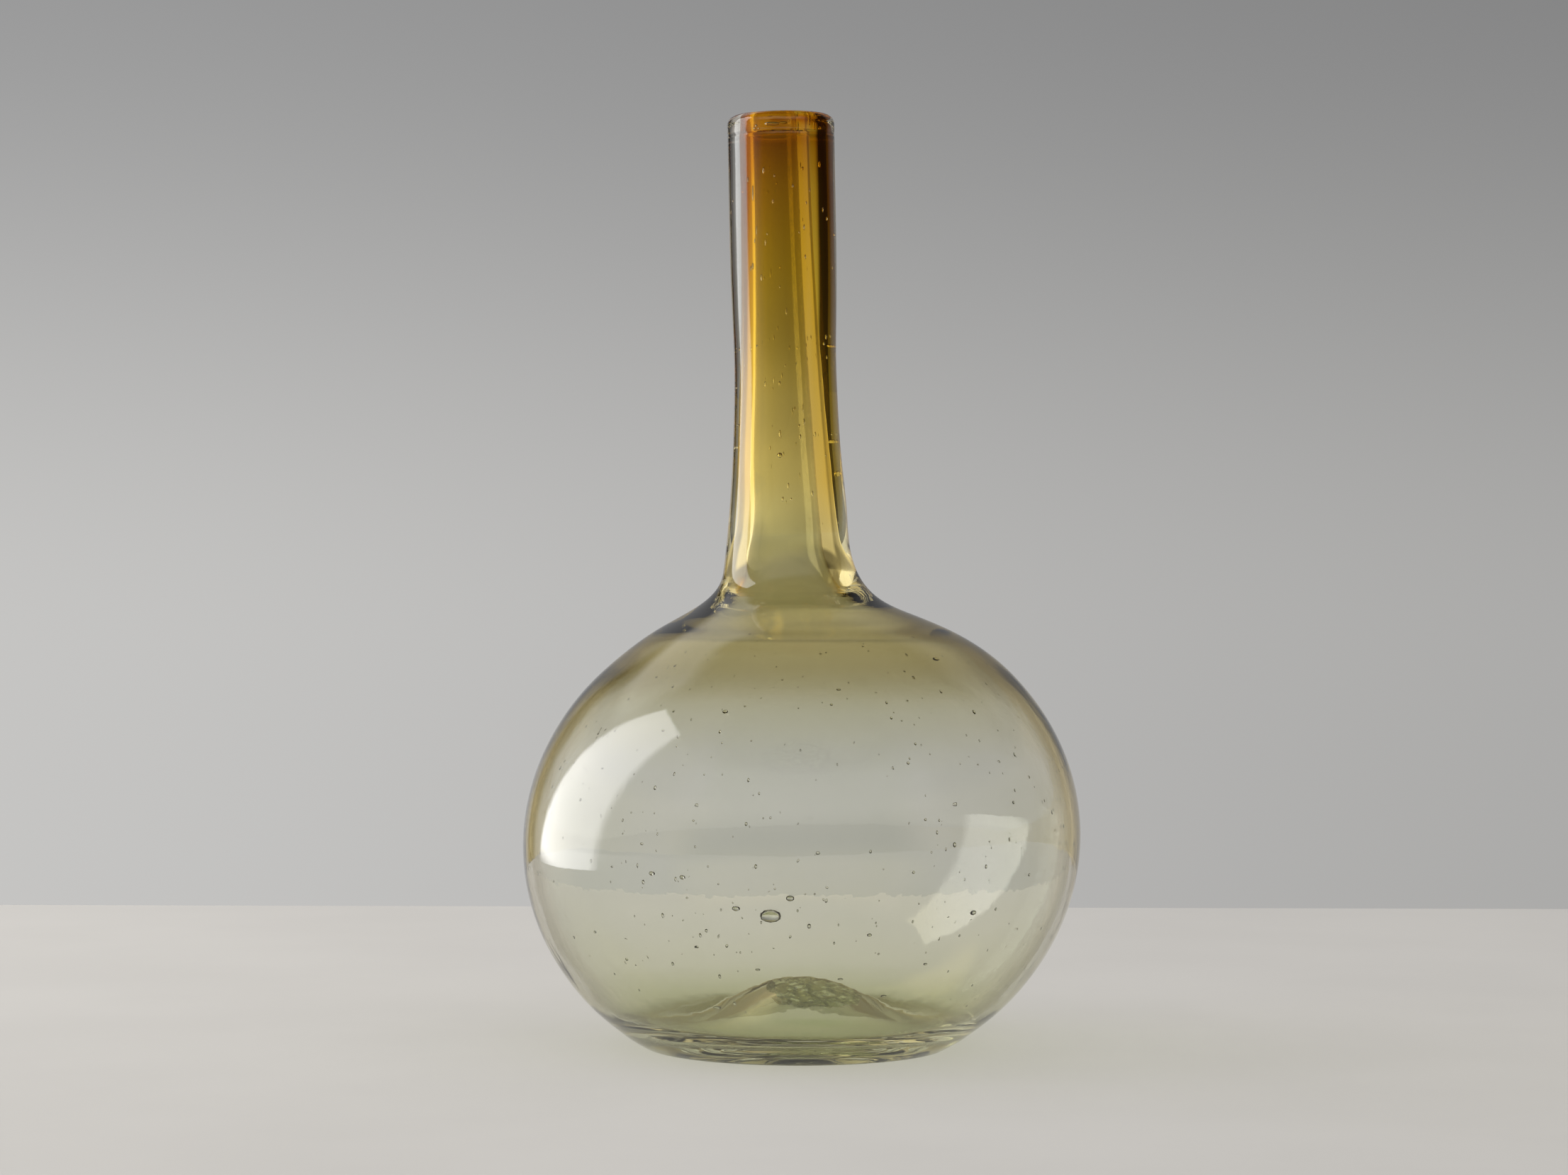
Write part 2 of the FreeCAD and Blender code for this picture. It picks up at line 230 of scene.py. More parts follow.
@dataclass(frozen=True)
class BlownGlass:
    """Clear blown glass, tinted by height, with ripples left by blowing and drawing.

    A tint is what is left of a ray that goes into the glass and out of it again.
    """

    name: str
    tints: tuple[tuple[float, Colour], ...]  # height in mm and colour
    streak: float = 0.04  # how much the tint wanders
    streak_scale: float = 22.0
    streak_tint: Colour = (0.9, 0.92, 0.84)
    grain: tuple[float, float, float] = (1.0, 1.0, 1.0)
    ripple_scale: float = 26.0
    ripple: float = 0.25
    fine_scale: float = 160.0
    fine: float = 0.03
    calm: tuple[float, float] | None = None  # heights in mm between which the ripples die away
    rough_low: float = 0.0  # worn roughness at the foot
    rough_height: float = 0.6
    lamp_tint: Colour = (0.95, 0.955, 0.92)
    ior: float = 1.5
    edge: Colour | None = None  # what is left of a ray that runs along the wall
    edge_band: tuple[float, float] = (0.6, 0.9)  # how far along it has to run for that

    def colour(self, recipe: SurfaceRecipe) -> Value:
        """The tint, by height, with faint streaks.

        Args:
            recipe: The material's nodes.

        Returns:
            The colour.
        """
        wander = recipe.cloud(recipe.stretched(recipe.place, self.grain), self.streak_scale, 3.0, 0.6)
        deeper = recipe.band(wander, 0.35, 0.75, (0.0, self.streak * 6.0))
        streaks = recipe.blend(deeper, WHITE, self.streak_tint)
        tint = recipe.tinted(recipe.ramp(recipe.height, self.tints), streaks)
        if self.edge:
            rim = recipe.band(recipe.along(), *self.edge_band)
            tint = recipe.tinted(tint, recipe.blend(rim, WHITE, self.edge))
        return tint

    def normal(self, recipe: SurfaceRecipe) -> Value:
        """Slow swells and fine draw lines, as a bump.

        Args:
            recipe: The material's nodes.

        Returns:
            The bumped normal.
        """
        drawn = recipe.stretched(recipe.place, self.grain)
        swell = recipe.cloud(drawn, self.ripple_scale, 1.0, 0.3)
        lines = recipe.cloud(drawn, self.fine_scale, 2.0, 0.2)
        relief = swell * self.ripple + lines * self.fine
        if self.calm:
            low, high = sorted(self.calm)
            ends = (1.0, 0.0) if low == self.calm[0] else (0.0, 1.0)
            relief = relief * recipe.band(recipe.height, low * MM, high * MM, ends)
        return recipe.node(
            "ShaderNodeBump", None, {"Strength": 1.0, "Distance": 0.001, "Height": relief})

    def shader(self, recipe: SurfaceRecipe) -> Value:
        """The glass itself.

        Args:
            recipe: The material's nodes.

        Returns:
            The Principled shader.
        """
        return recipe.node("ShaderNodeBsdfPrincipled", {"distribution": "GGX"}, {
            "Base Color": self.colour(recipe),
            "Transmission Weight": 1.0,
            "IOR": self.ior,
            "Roughness": self.wear(recipe),
            "Normal": self.normal(recipe),
        })

    def wear(self, recipe: SurfaceRecipe) -> Feed:
        """The roughness: none, or scuffs that end a little above the foot.

        Args:
            recipe: The material's nodes.

        Returns:
            The roughness.
        """
        if not self.rough_low:
            return 0.0
        scuff = recipe.cloud(recipe.place, 900.0, 3.0)
        worn = recipe.band(recipe.height, 0.0, self.rough_height * MM, (self.rough_low, 0.0))
        return worn * (0.4 + scuff)

    def let_through(self, recipe: SurfaceRecipe) -> tuple[Value, Value]:
        """The rays that pass to light the table under the glass, and the shader that they meet."""
        passing = recipe.path("Is Shadow Ray") + recipe.path("Is Diffuse Ray")
        return passing, recipe.clear(self.lamp_tint)

    def material(self) -> bpy.types.Material:
        """Makes the material.

        Returns:
            The glass, with a way through for lamp light.
        """
        made = bpy.data.materials.new(self.name)
        made.use_nodes = True
        recipe = SurfaceRecipe(made.node_tree)
        passing, through = self.let_through(recipe)
        mixed = recipe.node(
            "ShaderNodeMixShader", None, {0: passing, 1: self.shader(recipe), 2: through})
        recipe.node("ShaderNodeOutputMaterial", None, {"Surface": mixed})
        return made


@dataclass(frozen=True)
class ColourLayer(BlownGlass):
    """The skin between two masses of glass: it tints and doesn't bend or reflect.

    A ray straight from the camera meets the plain shader, and every other ray is tinted by skins.
    """

    ior: float = 1.0
    skins: tuple[Colour, Colour, Colour] = (WHITE, (0.9, 0.9, 0.8), (0.8, 0.8, 0.6))  # one crossing
    depth: tuple[tuple[float, float], ...] = ((0.0, 1.0), (300.0, 1.0))  # height in mm, skin 0 to 2
    slant: float = 0.6  # how much deeper it looks to a ray that runs along it

    def normal(self, recipe: SurfaceRecipe) -> Value:
        """The bare normal, because nothing bends here."""
        return recipe.node("ShaderNodeNewGeometry", output="Normal")

    def let_through(self, recipe: SurfaceRecipe) -> tuple[Value, Value]:
        """Every ray inside the glass crosses the skin and takes its colour.

        Args:
            recipe: The material's nodes.

        Returns:
            1 for the rays that pass, and the shader that they meet.
        """
        deep = recipe.ramp(recipe.height, [(z, (d / 2, d / 2, d / 2)) for z, d in self.depth]) * 2.0
        deep = deep + recipe.band(recipe.along(), 0.1, 0.5, (0.0, self.slant)) * deep
        thin, middle, thick = (recipe.clear(skin) for skin in self.skins)
        half = recipe.node("ShaderNodeMixShader", None, {0: deep, 1: thin, 2: middle})
        whole = recipe.node("ShaderNodeMixShader", None, {0: deep - 1.0, 1: half, 2: thick})
        return 1.0 - recipe.path("Is Camera Ray"), whole


@dataclass(frozen=True)
class BrokenGlass(BlownGlass):
    """Rough glass, where a lump was snapped off the iron."""

    roughness: tuple[float, float] = (0.08, 0.45)
    chip_scale: float = 420.0

    def normal(self, recipe: SurfaceRecipe) -> Value:
        """Shell-shaped chips and grit, as a bump.

        Args:
            recipe: The material's nodes.

        Returns:
            The bumped normal.
        """
        chips = recipe.node(
            "ShaderNodeTexVoronoi", {"feature": "F1"},
            {"Vector": recipe.place, "Scale": self.chip_scale})
        grit = recipe.cloud(recipe.place, 1500.0, 4.0, 0.5)
        return recipe.node(
            "ShaderNodeBump", None,
            {"Strength": 1.0, "Distance": 0.0006, "Height": chips * 0.8 + grit * 0.35})

    def wear(self, recipe: SurfaceRecipe) -> Feed:
        """The roughness, in frosted and smooth patches."""
        return recipe.band(
            recipe.cloud(recipe.place, 260.0, 3.0, 0.8), 0.35, 0.65, self.roughness)


SAGE = BlownGlass(
    "sage_glass_blown",
    tints=((0.0, (0.56, 0.60, 0.38)), (7.0, (0.78, 0.80, 0.58)), (18.0, (0.91, 0.915, 0.79)),
           (45.0, (0.965, 0.97, 0.91)), (92.0, (0.97, 0.97, 0.93)), (110.0, (0.93, 0.915, 0.79)),
           (124.0, (0.80, 0.74, 0.50)), (134.0, (0.86, 0.795, 0.52)), (146.0, (0.92, 0.86, 0.52))),
    grain=(1.0, 1.0, 0.7), rough_low=0.28, calm=(112.0, 132.0), edge=(0.30, 0.26, 0.13))
OLIVE = BlownGlass(
    "olive_glass_drawn",
    tints=((145.0, (0.93, 0.86, 0.52)), (161.0, (0.96, 0.90, 0.56)), (172.0, (0.95, 0.90, 0.60)),
           (200.0, (0.94, 0.91, 0.70)), (240.0, (0.93, 0.92, 0.80)), (293.0, (0.93, 0.92, 0.86))),
    grain=(1.0, 1.0, 0.08), ripple_scale=60.0, ripple=0.18, fine_scale=300.0, calm=(190.0, 150.0),
    edge=(0.34, 0.22, 0.09))
BORE = BlownGlass(
    "bore_glass_drawn",
    tints=((165.0, (0.955, 0.90, 0.57)), (182.0, (0.965, 0.93, 0.68)), (209.0, (0.97, 0.90, 0.60)),
           (234.0, (0.93, 0.82, 0.45)), (260.0, (0.86, 0.71, 0.28)), (278.0, (0.82, 0.61, 0.20)),
           (293.0, (0.78, 0.54, 0.15))),
    grain=(1.0, 1.0, 0.08), ripple_scale=60.0, ripple=0.15, fine_scale=300.0, calm=(200.0, 165.0))
AMBER = ColourLayer(
    "amber_layer",
    tints=((164.0, (0.99, 0.97, 0.92)), (182.0, (0.97, 0.83, 0.40)), (209.0, (0.95, 0.75, 0.27)),
           (234.0, (0.86, 0.57, 0.12)), (260.0, (0.75, 0.42, 0.018)), (278.0, (0.62, 0.29, 0.012)),
           (299.0, (0.50, 0.19, 0.006))),
    skins=((1.0, 0.995, 0.98), (0.945, 0.79, 0.26), (0.66, 0.38, 0.02)),
    depth=((164.0, 0.0), (182.0, 0.42), (209.0, 0.6), (234.0, 0.85), (260.0, 1.08), (278.0, 1.3),
           (289.0, 1.6), (292.5, 1.8), (294.5, 1.3), (299.0, 1.3)),
    grain=(1.0, 1.0, 0.15), streak=0.05)
LIP = BlownGlass(
    "lip_glass_fire_polished",
    tints=((291.0, (0.90, 0.87, 0.80)), (301.0, (0.86, 0.80, 0.70))),
    ripple_scale=120.0, ripple=0.3, lamp_tint=(0.9, 0.85, 0.7))
LIP_BORE = BlownGlass(
    "lip_glass_bore",
    tints=((291.0, (0.88, 0.62, 0.22)), (294.5, (0.93, 0.68, 0.24)), (301.0, (0.90, 0.60, 0.18))),
    ripple_scale=120.0, ripple=0.5, lamp_tint=(0.9, 0.7, 0.4))
SCAR = BrokenGlass(
    "scar_glass_broken",
    tints=((9.0, (0.93, 0.96, 0.76)), (12.0, (0.96, 0.98, 0.85)), (15.0, (0.98, 0.99, 0.92))),
    streak=0.12, lamp_tint=(0.85, 0.9, 0.78))
WELD = ColourLayer(
    "weld_layer", skins=(WHITE, (0.88, 0.92, 0.80), (0.8, 0.8, 0.6)),
    tints=((9.0, (0.72, 0.78, 0.58)), (15.0, (0.78, 0.84, 0.66))), streak=0.08)


# ------------------------------------------------------------------ rings and skins


@dataclass(frozen=True)
class Ring:
    """One ring of the glass, in mm: its centre, radius, lean to -X and shift in its own plane."""

    x: float
    z: float
    radius: float
    lean: float = 0.0
    aside: float = 0.0

    def points(self) -> np.ndarray:
        """The ring's points in metres, from +X round by +Y.

        Returns:
            One row a point.
        """
        turn = np.linspace(0.0, 2.0 * math.pi, SEGMENTS, endpoint=False)
        along = self.aside + self.radius * np.cos(turn)
        lean = math.radians(self.lean)
        return MM * np.stack([
            self.x + along * math.cos(lean),
            self.radius * np.sin(turn),
            self.z + along * math.sin(lean)], axis=1)


Loop = Ring | np.ndarray  # a ring, or the points in metres of one that isn't round


class DrawnLine:
    """A smooth run of rings through stations, as glass takes between them."""

    def __init__(self, stations: Sequence[Ring]) -> None:
        """Fits a natural cubic through the stations.

        Args:
            stations: Rings in order along the glass.
        """
        rows = np.array([[s.x, s.z, s.radius, s.lean, s.aside] for s in stations])
        steps = np.hypot(np.diff(rows[:, 1]), np.diff(rows[:, 2]))
        self.rows = rows
        self.knots = np.concatenate([[0.0], np.cumsum(steps)])
        count = len(rows)
        system, pull = np.zeros((count, count)), np.zeros_like(rows)
        system[0, 0] = system[-1, -1] = 1.0
        for i in range(1, count - 1):
            system[i, i - 1:i + 2] = steps[i - 1], 2.0 * (steps[i - 1] + steps[i]), steps[i]
            ahead, behind = rows[i + 1] - rows[i], rows[i] - rows[i - 1]
            pull[i] = 6.0 * (ahead / steps[i] - behind / steps[i - 1])
        self.bend = np.linalg.solve(system, pull)

    def at(self, place: float) -> Ring:
        """The ring at a place along the line.

        Args:
            place: Distance along the line in mm.

        Returns:
            The ring.
        """
        i = int(np.clip(np.searchsorted(self.knots, place, side="right") - 1, 0, len(self.knots) - 2))
        gap = self.knots[i + 1] - self.knots[i]
        after = (place - self.knots[i]) / gap
        before = 1.0 - after
        curve = (before ** 3 - before) * self.bend[i] + (after ** 3 - after) * self.bend[i + 1]
        row = before * self.rows[i] + after * self.rows[i + 1] + curve * gap * gap / 6.0
        return Ring(*(float(v) for v in row))

    def between(self, first: int, last: int, spacing: float) -> list[Ring]:
        """Rings from one station to another.

        Args:
            first: Number of the first station.
            last: Number of the last station; negative numbers count from the end.
            spacing: About how far apart they lie, in mm.

        Returns:
            The rings, both ends included.
        """
        last = last % len(self.knots)
        start, end = self.knots[first], self.knots[last]
        count = max(2, int(round((end - start) / spacing)) + 1)
        return [self.at(place) for place in np.linspace(start, end, count)]


@cache
def unit_ball() -> tuple[np.ndarray, list[tuple[int, ...]]]:
    """A ball of air of radius 1, whose faces look inwards.

    Returns:
        Its points, and the corners of its faces.
    """
    ball = bmesh.new()
    bmesh.ops.create_icosphere(ball, subdivisions=2, radius=1.0)
    rows = np.array([tuple(v.co) for v in ball.verts])
    corners = [tuple(v.index for v in reversed(face.verts)) for face in ball.faces]
    ball.free()
    return rows, corners


class Facing(Enum):
    """Which side of a strip is air, looking along its rings."""

    OUTSIDE = 1
    INSIDE = -1


@dataclass
class GlassSkin:
    """Strips of rings and trapped bubbles, gathered as one mesh."""

    points: list[np.ndarray] = field(default_factory=list)
    faces: list[tuple[int, ...]] = field(default_factory=list)
    slots: list[int] = field(default_factory=list)
    count: int = 0

    def _add(self, rows: np.ndarray) -> int:
        """Adds points.

        Args:
            rows: The points in metres.

        Returns:
            The number of the first.
        """
        start = self.count
        self.points.append(rows)
        self.count += len(rows)
        return start

    def strip(
        self, rings: Sequence[Loop], facing: Facing = Facing.OUTSIDE, slot: int = 0,
        pole: Vector | None = None,
    ) -> None:
        """Skins a run of rings.

        Args:
            rings: The rings in order.
            facing: Which side is air.
            slot: The material slot.
            pole: A point that closes the first ring.
        """
        starts = [self._add(ring.points() if isinstance(ring, Ring) else ring) for ring in rings]
        made = []
        for low, high in zip(starts, starts[1:]):
            for i in range(SEGMENTS):
                j = (i + 1) % SEGMENTS
                made.append((low + i, low + j, high + j, high + i))
        if pole is not None:
            tip = self._add(np.array([tuple(pole)]))
            made += [(tip, starts[0] + (i + 1) % SEGMENTS, starts[0] + i) for i in range(SEGMENTS)]
        if facing is Facing.INSIDE:
            made = [face[::-1] for face in made]
        self.faces += made
        self.slots += [slot] * len(made)

    def bubble(self, centre: Vector, size: Vector, turn: Matrix, slot: int = 0) -> None:
        """Traps a bubble of air in the glass.

        Args:
            centre: Its middle in metres.
            size: Its half sizes in metres.
            turn: How it is turned.
            slot: The material slot.
        """
        rows, corners = unit_ball()
        start = self._add(np.array(centre) + (rows * np.array(size)) @ np.array(turn).T)
        made = [tuple(start + k for k in face) for face in corners]
        self.faces += made
        self.slots += [slot] * len(made)

    def piece(
        self, name: str, finishes: Sequence[BlownGlass], node: str
    ) -> bpy.types.Object:
        """Makes the object that stands for a node.

        Args:
            name: The piece's name.
            finishes: One finish a material slot.
            node: The node that it stands for.

        Returns:
            The piece.
        """
        mesh = bpy.data.meshes.new(name)
        mesh.from_pydata(np.concatenate(self.points).tolist(), [], self.faces)
        mesh.polygons.foreach_set("material_index", self.slots)
        mesh.polygons.foreach_set("use_smooth", [True] * len(self.faces))
        mesh.update()
        made = bpy.data.objects.new(name, mesh)
        bpy.context.scene.collection.objects.link(made)
        for finish in finishes:
            known = bpy.data.materials.get(finish.name)
            made.data.materials.append(known or finish.material())
        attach(made, "root")
        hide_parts(node)
        LOG.info("%s: %d faces for %s", name, len(self.faces), node)
        return made


# ------------------------------------------------------------------ the flask's lines


def clamp_seat_top() -> float:
    """Height in mm of the middle of the neck's top, where the clamp's seat ends and the lip starts."""
    grip = next(mount for mount in frame["record"]["mounts"] if mount["name"] == "neck_grip")
    return grip["pos_m"][2] / MM + grip["axis"][2] * grip["dims"]["length_mm"] / 2


@dataclass(frozen=True)
class FlaskShape:
    """Sizes that the glass masses share, in mm and degrees."""

    seam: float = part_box("bulb")[1].z / MM  # height of the ring where neck and globe were joined
    mouth: float = clamp_seat_top()  # height of the neck's top, under the lip

    foot_radius: float = 49.3
    girth_radius: float = 89.8
    globe_half: float = 79.6
    globe_lean: float = 1.5
    crown_radius: float = 48.9
    crown_shift: float = 0.7
    collar_hollow: float = 0.9
    seam_radius: float = 26.7
    seam_shift: float = -2.8
    flare_rise: float = 10.0
    flare_hollow: float = 1.15
    root_radius: float = 21.0
    root_shift: float = -4.3
    neck_lean: float = 1.23
    waist_rise: float = 68.0
    waist_radius: float = 16.5
    grip_length: float = 28.0
    grip_radius: float = 17.25
    globe_wall: float = 2.6
    crown_wall: float = 3.2
    base_thickness: float = 8.0
    root_bore: float = 11.8
    floor_edge: tuple[tuple[float, float, float], ...] = (  # place, height over the floor, radius
        (-0.6, 0.02, 50.0), (-1.1, 0.75, 54.8))
    throat: tuple[tuple[float, float, float], ...] = (  # place along X, radius and height of each ring
        (0.6, 47.3, 131.1), (0.1, 42.3, 133.5), (-0.5, 37.2, 135.9), (-1.15, 32.0, 138.3),
        (-1.8, 27.5, 140.5), (-2.5, 23.3, 143.0), (-3.0, 20.6, seam),
        (-3.5, 17.9, 147.8), (-4.05, 15.4, 151.2), (-4.7, 13.3, 155.6), (-5.1, 12.0, 160.2))
    mouth_bore: float = 7.2
    root_bore_shift: float = -0.4
    mouth_bore_shift: float = -1.25
    lining_rise: float = 10.0
    lining_foot: tuple[float, float] = (0.25, 0.6)  # thin side, thick side
    lining_top: tuple[float, float] = (0.35, 5.6)
    lining_shoulder: float = 5.0  # how far below its end the layer starts to close in
    lining_end: float = clamp_seat_top() + 6.3  # the layer runs on into the lip

    @property
    def girth(self) -> float:
        """Height of the widest ring."""
        return self.globe_half * math.sin(math.acos(self.foot_radius / self.girth_radius))

    @property
    def crown_angle(self) -> float:
        """Where on its oval the globe gives way to the collar, in radians."""
        return math.acos(self.crown_radius / self.girth_radius)

    @property
    def crown(self) -> float:
        """Height of the crown."""
        return self.girth + self.globe_half * math.sin(self.crown_angle)

    @property
    def root(self) -> float:
        """Height of the neck's root."""
        return self.seam + self.flare_rise

    def neck_x(self, z: float) -> float:
        """Where along X the neck's middle line passes a height."""
        return self.root_shift - math.tan(math.radians(self.neck_lean)) * (z - self.root)

    def globe_ring(self, angle: float, wide: float, half: float) -> Ring:
        """A ring of the globe's leaning oval.

        Args:
            angle: How far above the girth it lies, in radians.
            wide: The oval's half width.
            half: Its half height.

        Returns:
            The ring.
        """
        rise = half * math.sin(angle)
        return Ring(math.tan(math.radians(self.globe_lean)) * rise, self.girth + rise,
                    wide * math.cos(angle))

    def bore(self, z: float) -> tuple[float, float]:
        """The bore at a height.

        Args:
            z: The height.

        Returns:
            Its radius and its shift off the neck's middle line.
        """
        left = max(0.0, self.mouth - z) / (self.mouth - self.root)
        radius = self.mouth_bore + (self.root_bore - self.mouth_bore) * left * left
        shift = self.mouth_bore_shift + (self.root_bore_shift - self.mouth_bore_shift) * left
        return radius, shift

    def neck_ring(self, z: float, radius: float, shift: float = 0.0) -> Ring:
        """A ring at a height on the neck's middle line, or shifted off it."""
        return Ring(self.neck_x(z), z, radius, self.neck_lean, shift)

    def layer_ring(self, z: float) -> Ring:
        """The outside of the amber layer at a height.

        Args:
            z: The height.

        Returns:
            The ring.
        """
        share = (z - self.root - self.lining_rise) / (self.mouth - self.root - self.lining_rise)
        rise = max(0.0, 1.0 - (self.lining_end - z) / self.lining_shoulder)
        shoulder = max(0.08, math.sqrt(1.0 - min(1.0, rise) ** 2))
        thin = (self.lining_foot[0] + (self.lining_top[0] - self.lining_foot[0]) * share) * shoulder
        thick = self.lining_foot[1] + (self.lining_top[1] - self.lining_foot[1]) * share ** 0.55
        thick *= shoulder
        radius, shift = self.bore(z)
        return self.neck_ring(z, radius + (thin + thick) / 2, shift + (thick - thin) / 2)

    def outer_line(self) -> tuple[DrawnLine, int]:
        """The outside, from just above the foot to the lip.

        Returns:
            The line and the number of its station at the seam.
        """
        low = -math.acos(self.foot_radius / self.girth_radius)
        angles = [low + (self.crown_angle - low) * (0.035 + 0.965 * k / 12) for k in range(12)]
        rings = [self.globe_ring(a, self.girth_radius, self.globe_half) for a in angles]
        rings += [
            Ring(self.crown_shift, self.crown, self.crown_radius),
            Ring((self.crown_shift + self.seam_shift) / 2, (self.crown + self.seam) / 2,
                 (self.crown_radius + self.seam_radius) / 2 - self.collar_hollow),
            Ring(self.seam_shift, self.seam, self.seam_radius)]
        seam = len(rings) - 1
        rings.append(Ring((self.seam_shift + self.root_shift) / 2, self.seam + self.flare_rise / 2,
                          (self.seam_radius + self.root_radius) / 2 - self.flare_hollow,
                          self.neck_lean / 2))
        waist, grip = self.root + self.waist_rise, self.mouth - self.grip_length
        for k in range(4):
            z = self.root + self.waist_rise * k / 4
            radius = self.waist_radius + (self.root_radius - self.waist_radius) * (1 - k / 4) ** 2
            rings.append(self.neck_ring(z, radius))
        for k in range(4):
            z = waist + (grip - waist) * k / 3
            radius = self.waist_radius + (self.grip_radius - self.waist_radius) * math.sin(
                math.pi / 6 * k)
            rings.append(self.neck_ring(z, radius))
        rings += [self.neck_ring(z, self.grip_radius)
                  for z in (grip + self.grip_length * 0.5, self.mouth)]
        return DrawnLine(rings), seam

    def inner_line(self) -> tuple[DrawnLine, int, int]:
        """The inside, from the floor's edge to the top of the bore.

        Returns:
            The line and the numbers of its stations at the seam and at the layer's lower end.
        """
        wide, half = self.girth_radius - self.globe_wall, self.globe_half - self.crown_wall
        low = -math.asin((self.girth - self.base_thickness) / half)
        rings = [Ring(x, self.base_thickness + rise, radius) for x, rise, radius in self.floor_edge]
        angles = [low + (self.crown_angle - low) * (0.045 + 0.955 * k / 12) for k in range(12)]
        rings += [self.globe_ring(a, wide, half) for a in angles]
        seam = len(rings) + [z for _, _, z in self.throat].index(self.seam)
        for x, radius, z in self.throat:
            share = min(1.0, max(0.0, (z - self.crown) / (self.root - self.crown)))
            rings.append(Ring(x, z, radius, self.neck_lean * share))
        foot = len(rings)
        heights = [self.root + self.lining_rise]
        heights += list(np.linspace(self.root + self.lining_rise, self.mouth, 7)[1:])
        rings += [self.neck_ring(float(z), *self.bore(float(z))) for z in heights]
        return DrawnLine(rings), seam, foot


SHAPE = FlaskShape()


def dome_height(
    radius: float, top: float, slope: float, rounding: float, foot: float, low: float
) -> float:
    """Height of a round-topped dome with a straight flank, let into a level floor.

    Args:
        radius: Distance from its middle, in mm.
        top: Its height.
        slope: Its flank's slope in degrees.
        rounding: Radius of its top.
        foot: Radius of the hollow where the flank meets the floor.
        low: Height of the floor.

    Returns:
        The height there.
    """
    lean = math.radians(slope)
    turn = rounding * math.sin(lean)
    if radius <= turn:
        return top - rounding + math.sqrt(rounding ** 2 - radius ** 2)
    turn_z = top - rounding * (1 - math.cos(lean))
    meet = turn + (turn_z - low) / math.tan(lean)
    reach = foot * math.tan(lean / 2)
    if radius <= meet - reach * math.cos(lean):
        return turn_z - (radius - turn) * math.tan(lean)
    if radius <= meet + reach:
        return low + foot - math.sqrt(max(0.0, foot ** 2 - (meet + reach - radius) ** 2))
    return low


# ------------------------------------------------------------------ the glass masses


@dataclass(frozen=True)
class Seed:
    """A bubble in a wall: its place round the glass and its size, in degrees and mm."""

    azimuth: float  # 0 at the front, 90 at +X
    height: float
    wide: float
    tall: float
    deep: float
    depth: float = 0.5  # share of the wall, from its outside


@dataclass
class PontilWad:
    """The ragged lump that the iron left under the pushed-up base."""

    kick_height: float = 14.8
    kick_slope: float = 26.0
    kick_rounding: float = 30.0
    kick_foot: float = 25.0
    middle: float = 4.2
    across: float = 13.6
    bottom: float = 9.6
    rings: int = 26

    def kick(self, radius: float) -> float:
        """Height of the base's underside at a distance from its middle."""
        return dome_height(radius, self.kick_height, self.kick_slope, self.kick_rounding,
                           self.kick_foot, 0.0)

    def edge(self, turn: float) -> float:
        """How far the lump reaches from the kick's middle.

        Args:
            turn: Direction in radians from +X.

        Returns:
            The distance in mm.
        """
        side = self.middle * math.cos(turn)
        reach = side + math.sqrt(self.across ** 2 - (self.middle * math.sin(turn)) ** 2)
        jag = noise.noise(Vector((2.6 * math.cos(turn), 2.6 * math.sin(turn), 4.0)))
        fine = noise.noise(Vector((9.0 * math.cos(turn), 9.0 * math.sin(turn), 7.0)))
        return reach * (1.0 + 0.09 * jag + 0.04 * fine)

    def ring(self, share: float, under: bool = False) -> np.ndarray:
        """A ring of the weld, or of the broken underside.

        Args:
            share: How far out it lies, 1 at the lump's edge.
            under: True for the underside.

        Returns:
            Its points in metres.
        """
        rows = []
        for turn in np.linspace(0.0, 2.0 * math.pi, SEGMENTS, endpoint=False):
            radius = share * self.edge(float(turn))
            x, y = radius * math.cos(turn), radius * math.sin(turn)
            z = self.kick(radius)
            if under:
                chips = noise.noise(Vector((x * 0.35, y * 0.35, 1.5)))
                chips += 0.5 * noise.noise(Vector((x * 0.9, y * 0.9, 5.5)))
                lump = max(0.35, z - self.bottom - 0.5 + 1.1 * chips)
                z -= lump * min(1.0, (1.0 - share) * 5.0) ** 0.6
                z = max(z, self.bottom)
            rows.append((x * MM, y * MM, z * MM))
        return np.array(rows)

    def build(self) -> bpy.types.Object:
        """Makes the lump: the weld above and the broken glass below.

        Returns:
            The piece.
        """
        shares = [0.02 + 0.98 * k / (self.rings - 1) for k in range(self.rings)]
        skin = GlassSkin()
        skin.strip([self.ring(s) for s in shares], Facing.INSIDE, 1,
                   Vector((0.0, 0.0, self.kick_height * MM)))
        under = [self.ring(s, True) for s in shares]
        tip = Vector(under[0].mean(axis=0))
        skin.strip(under, Facing.OUTSIDE, 0, tip)
        return skin.piece("pontil_scar", (SCAR, WELD), "pontil_wad")


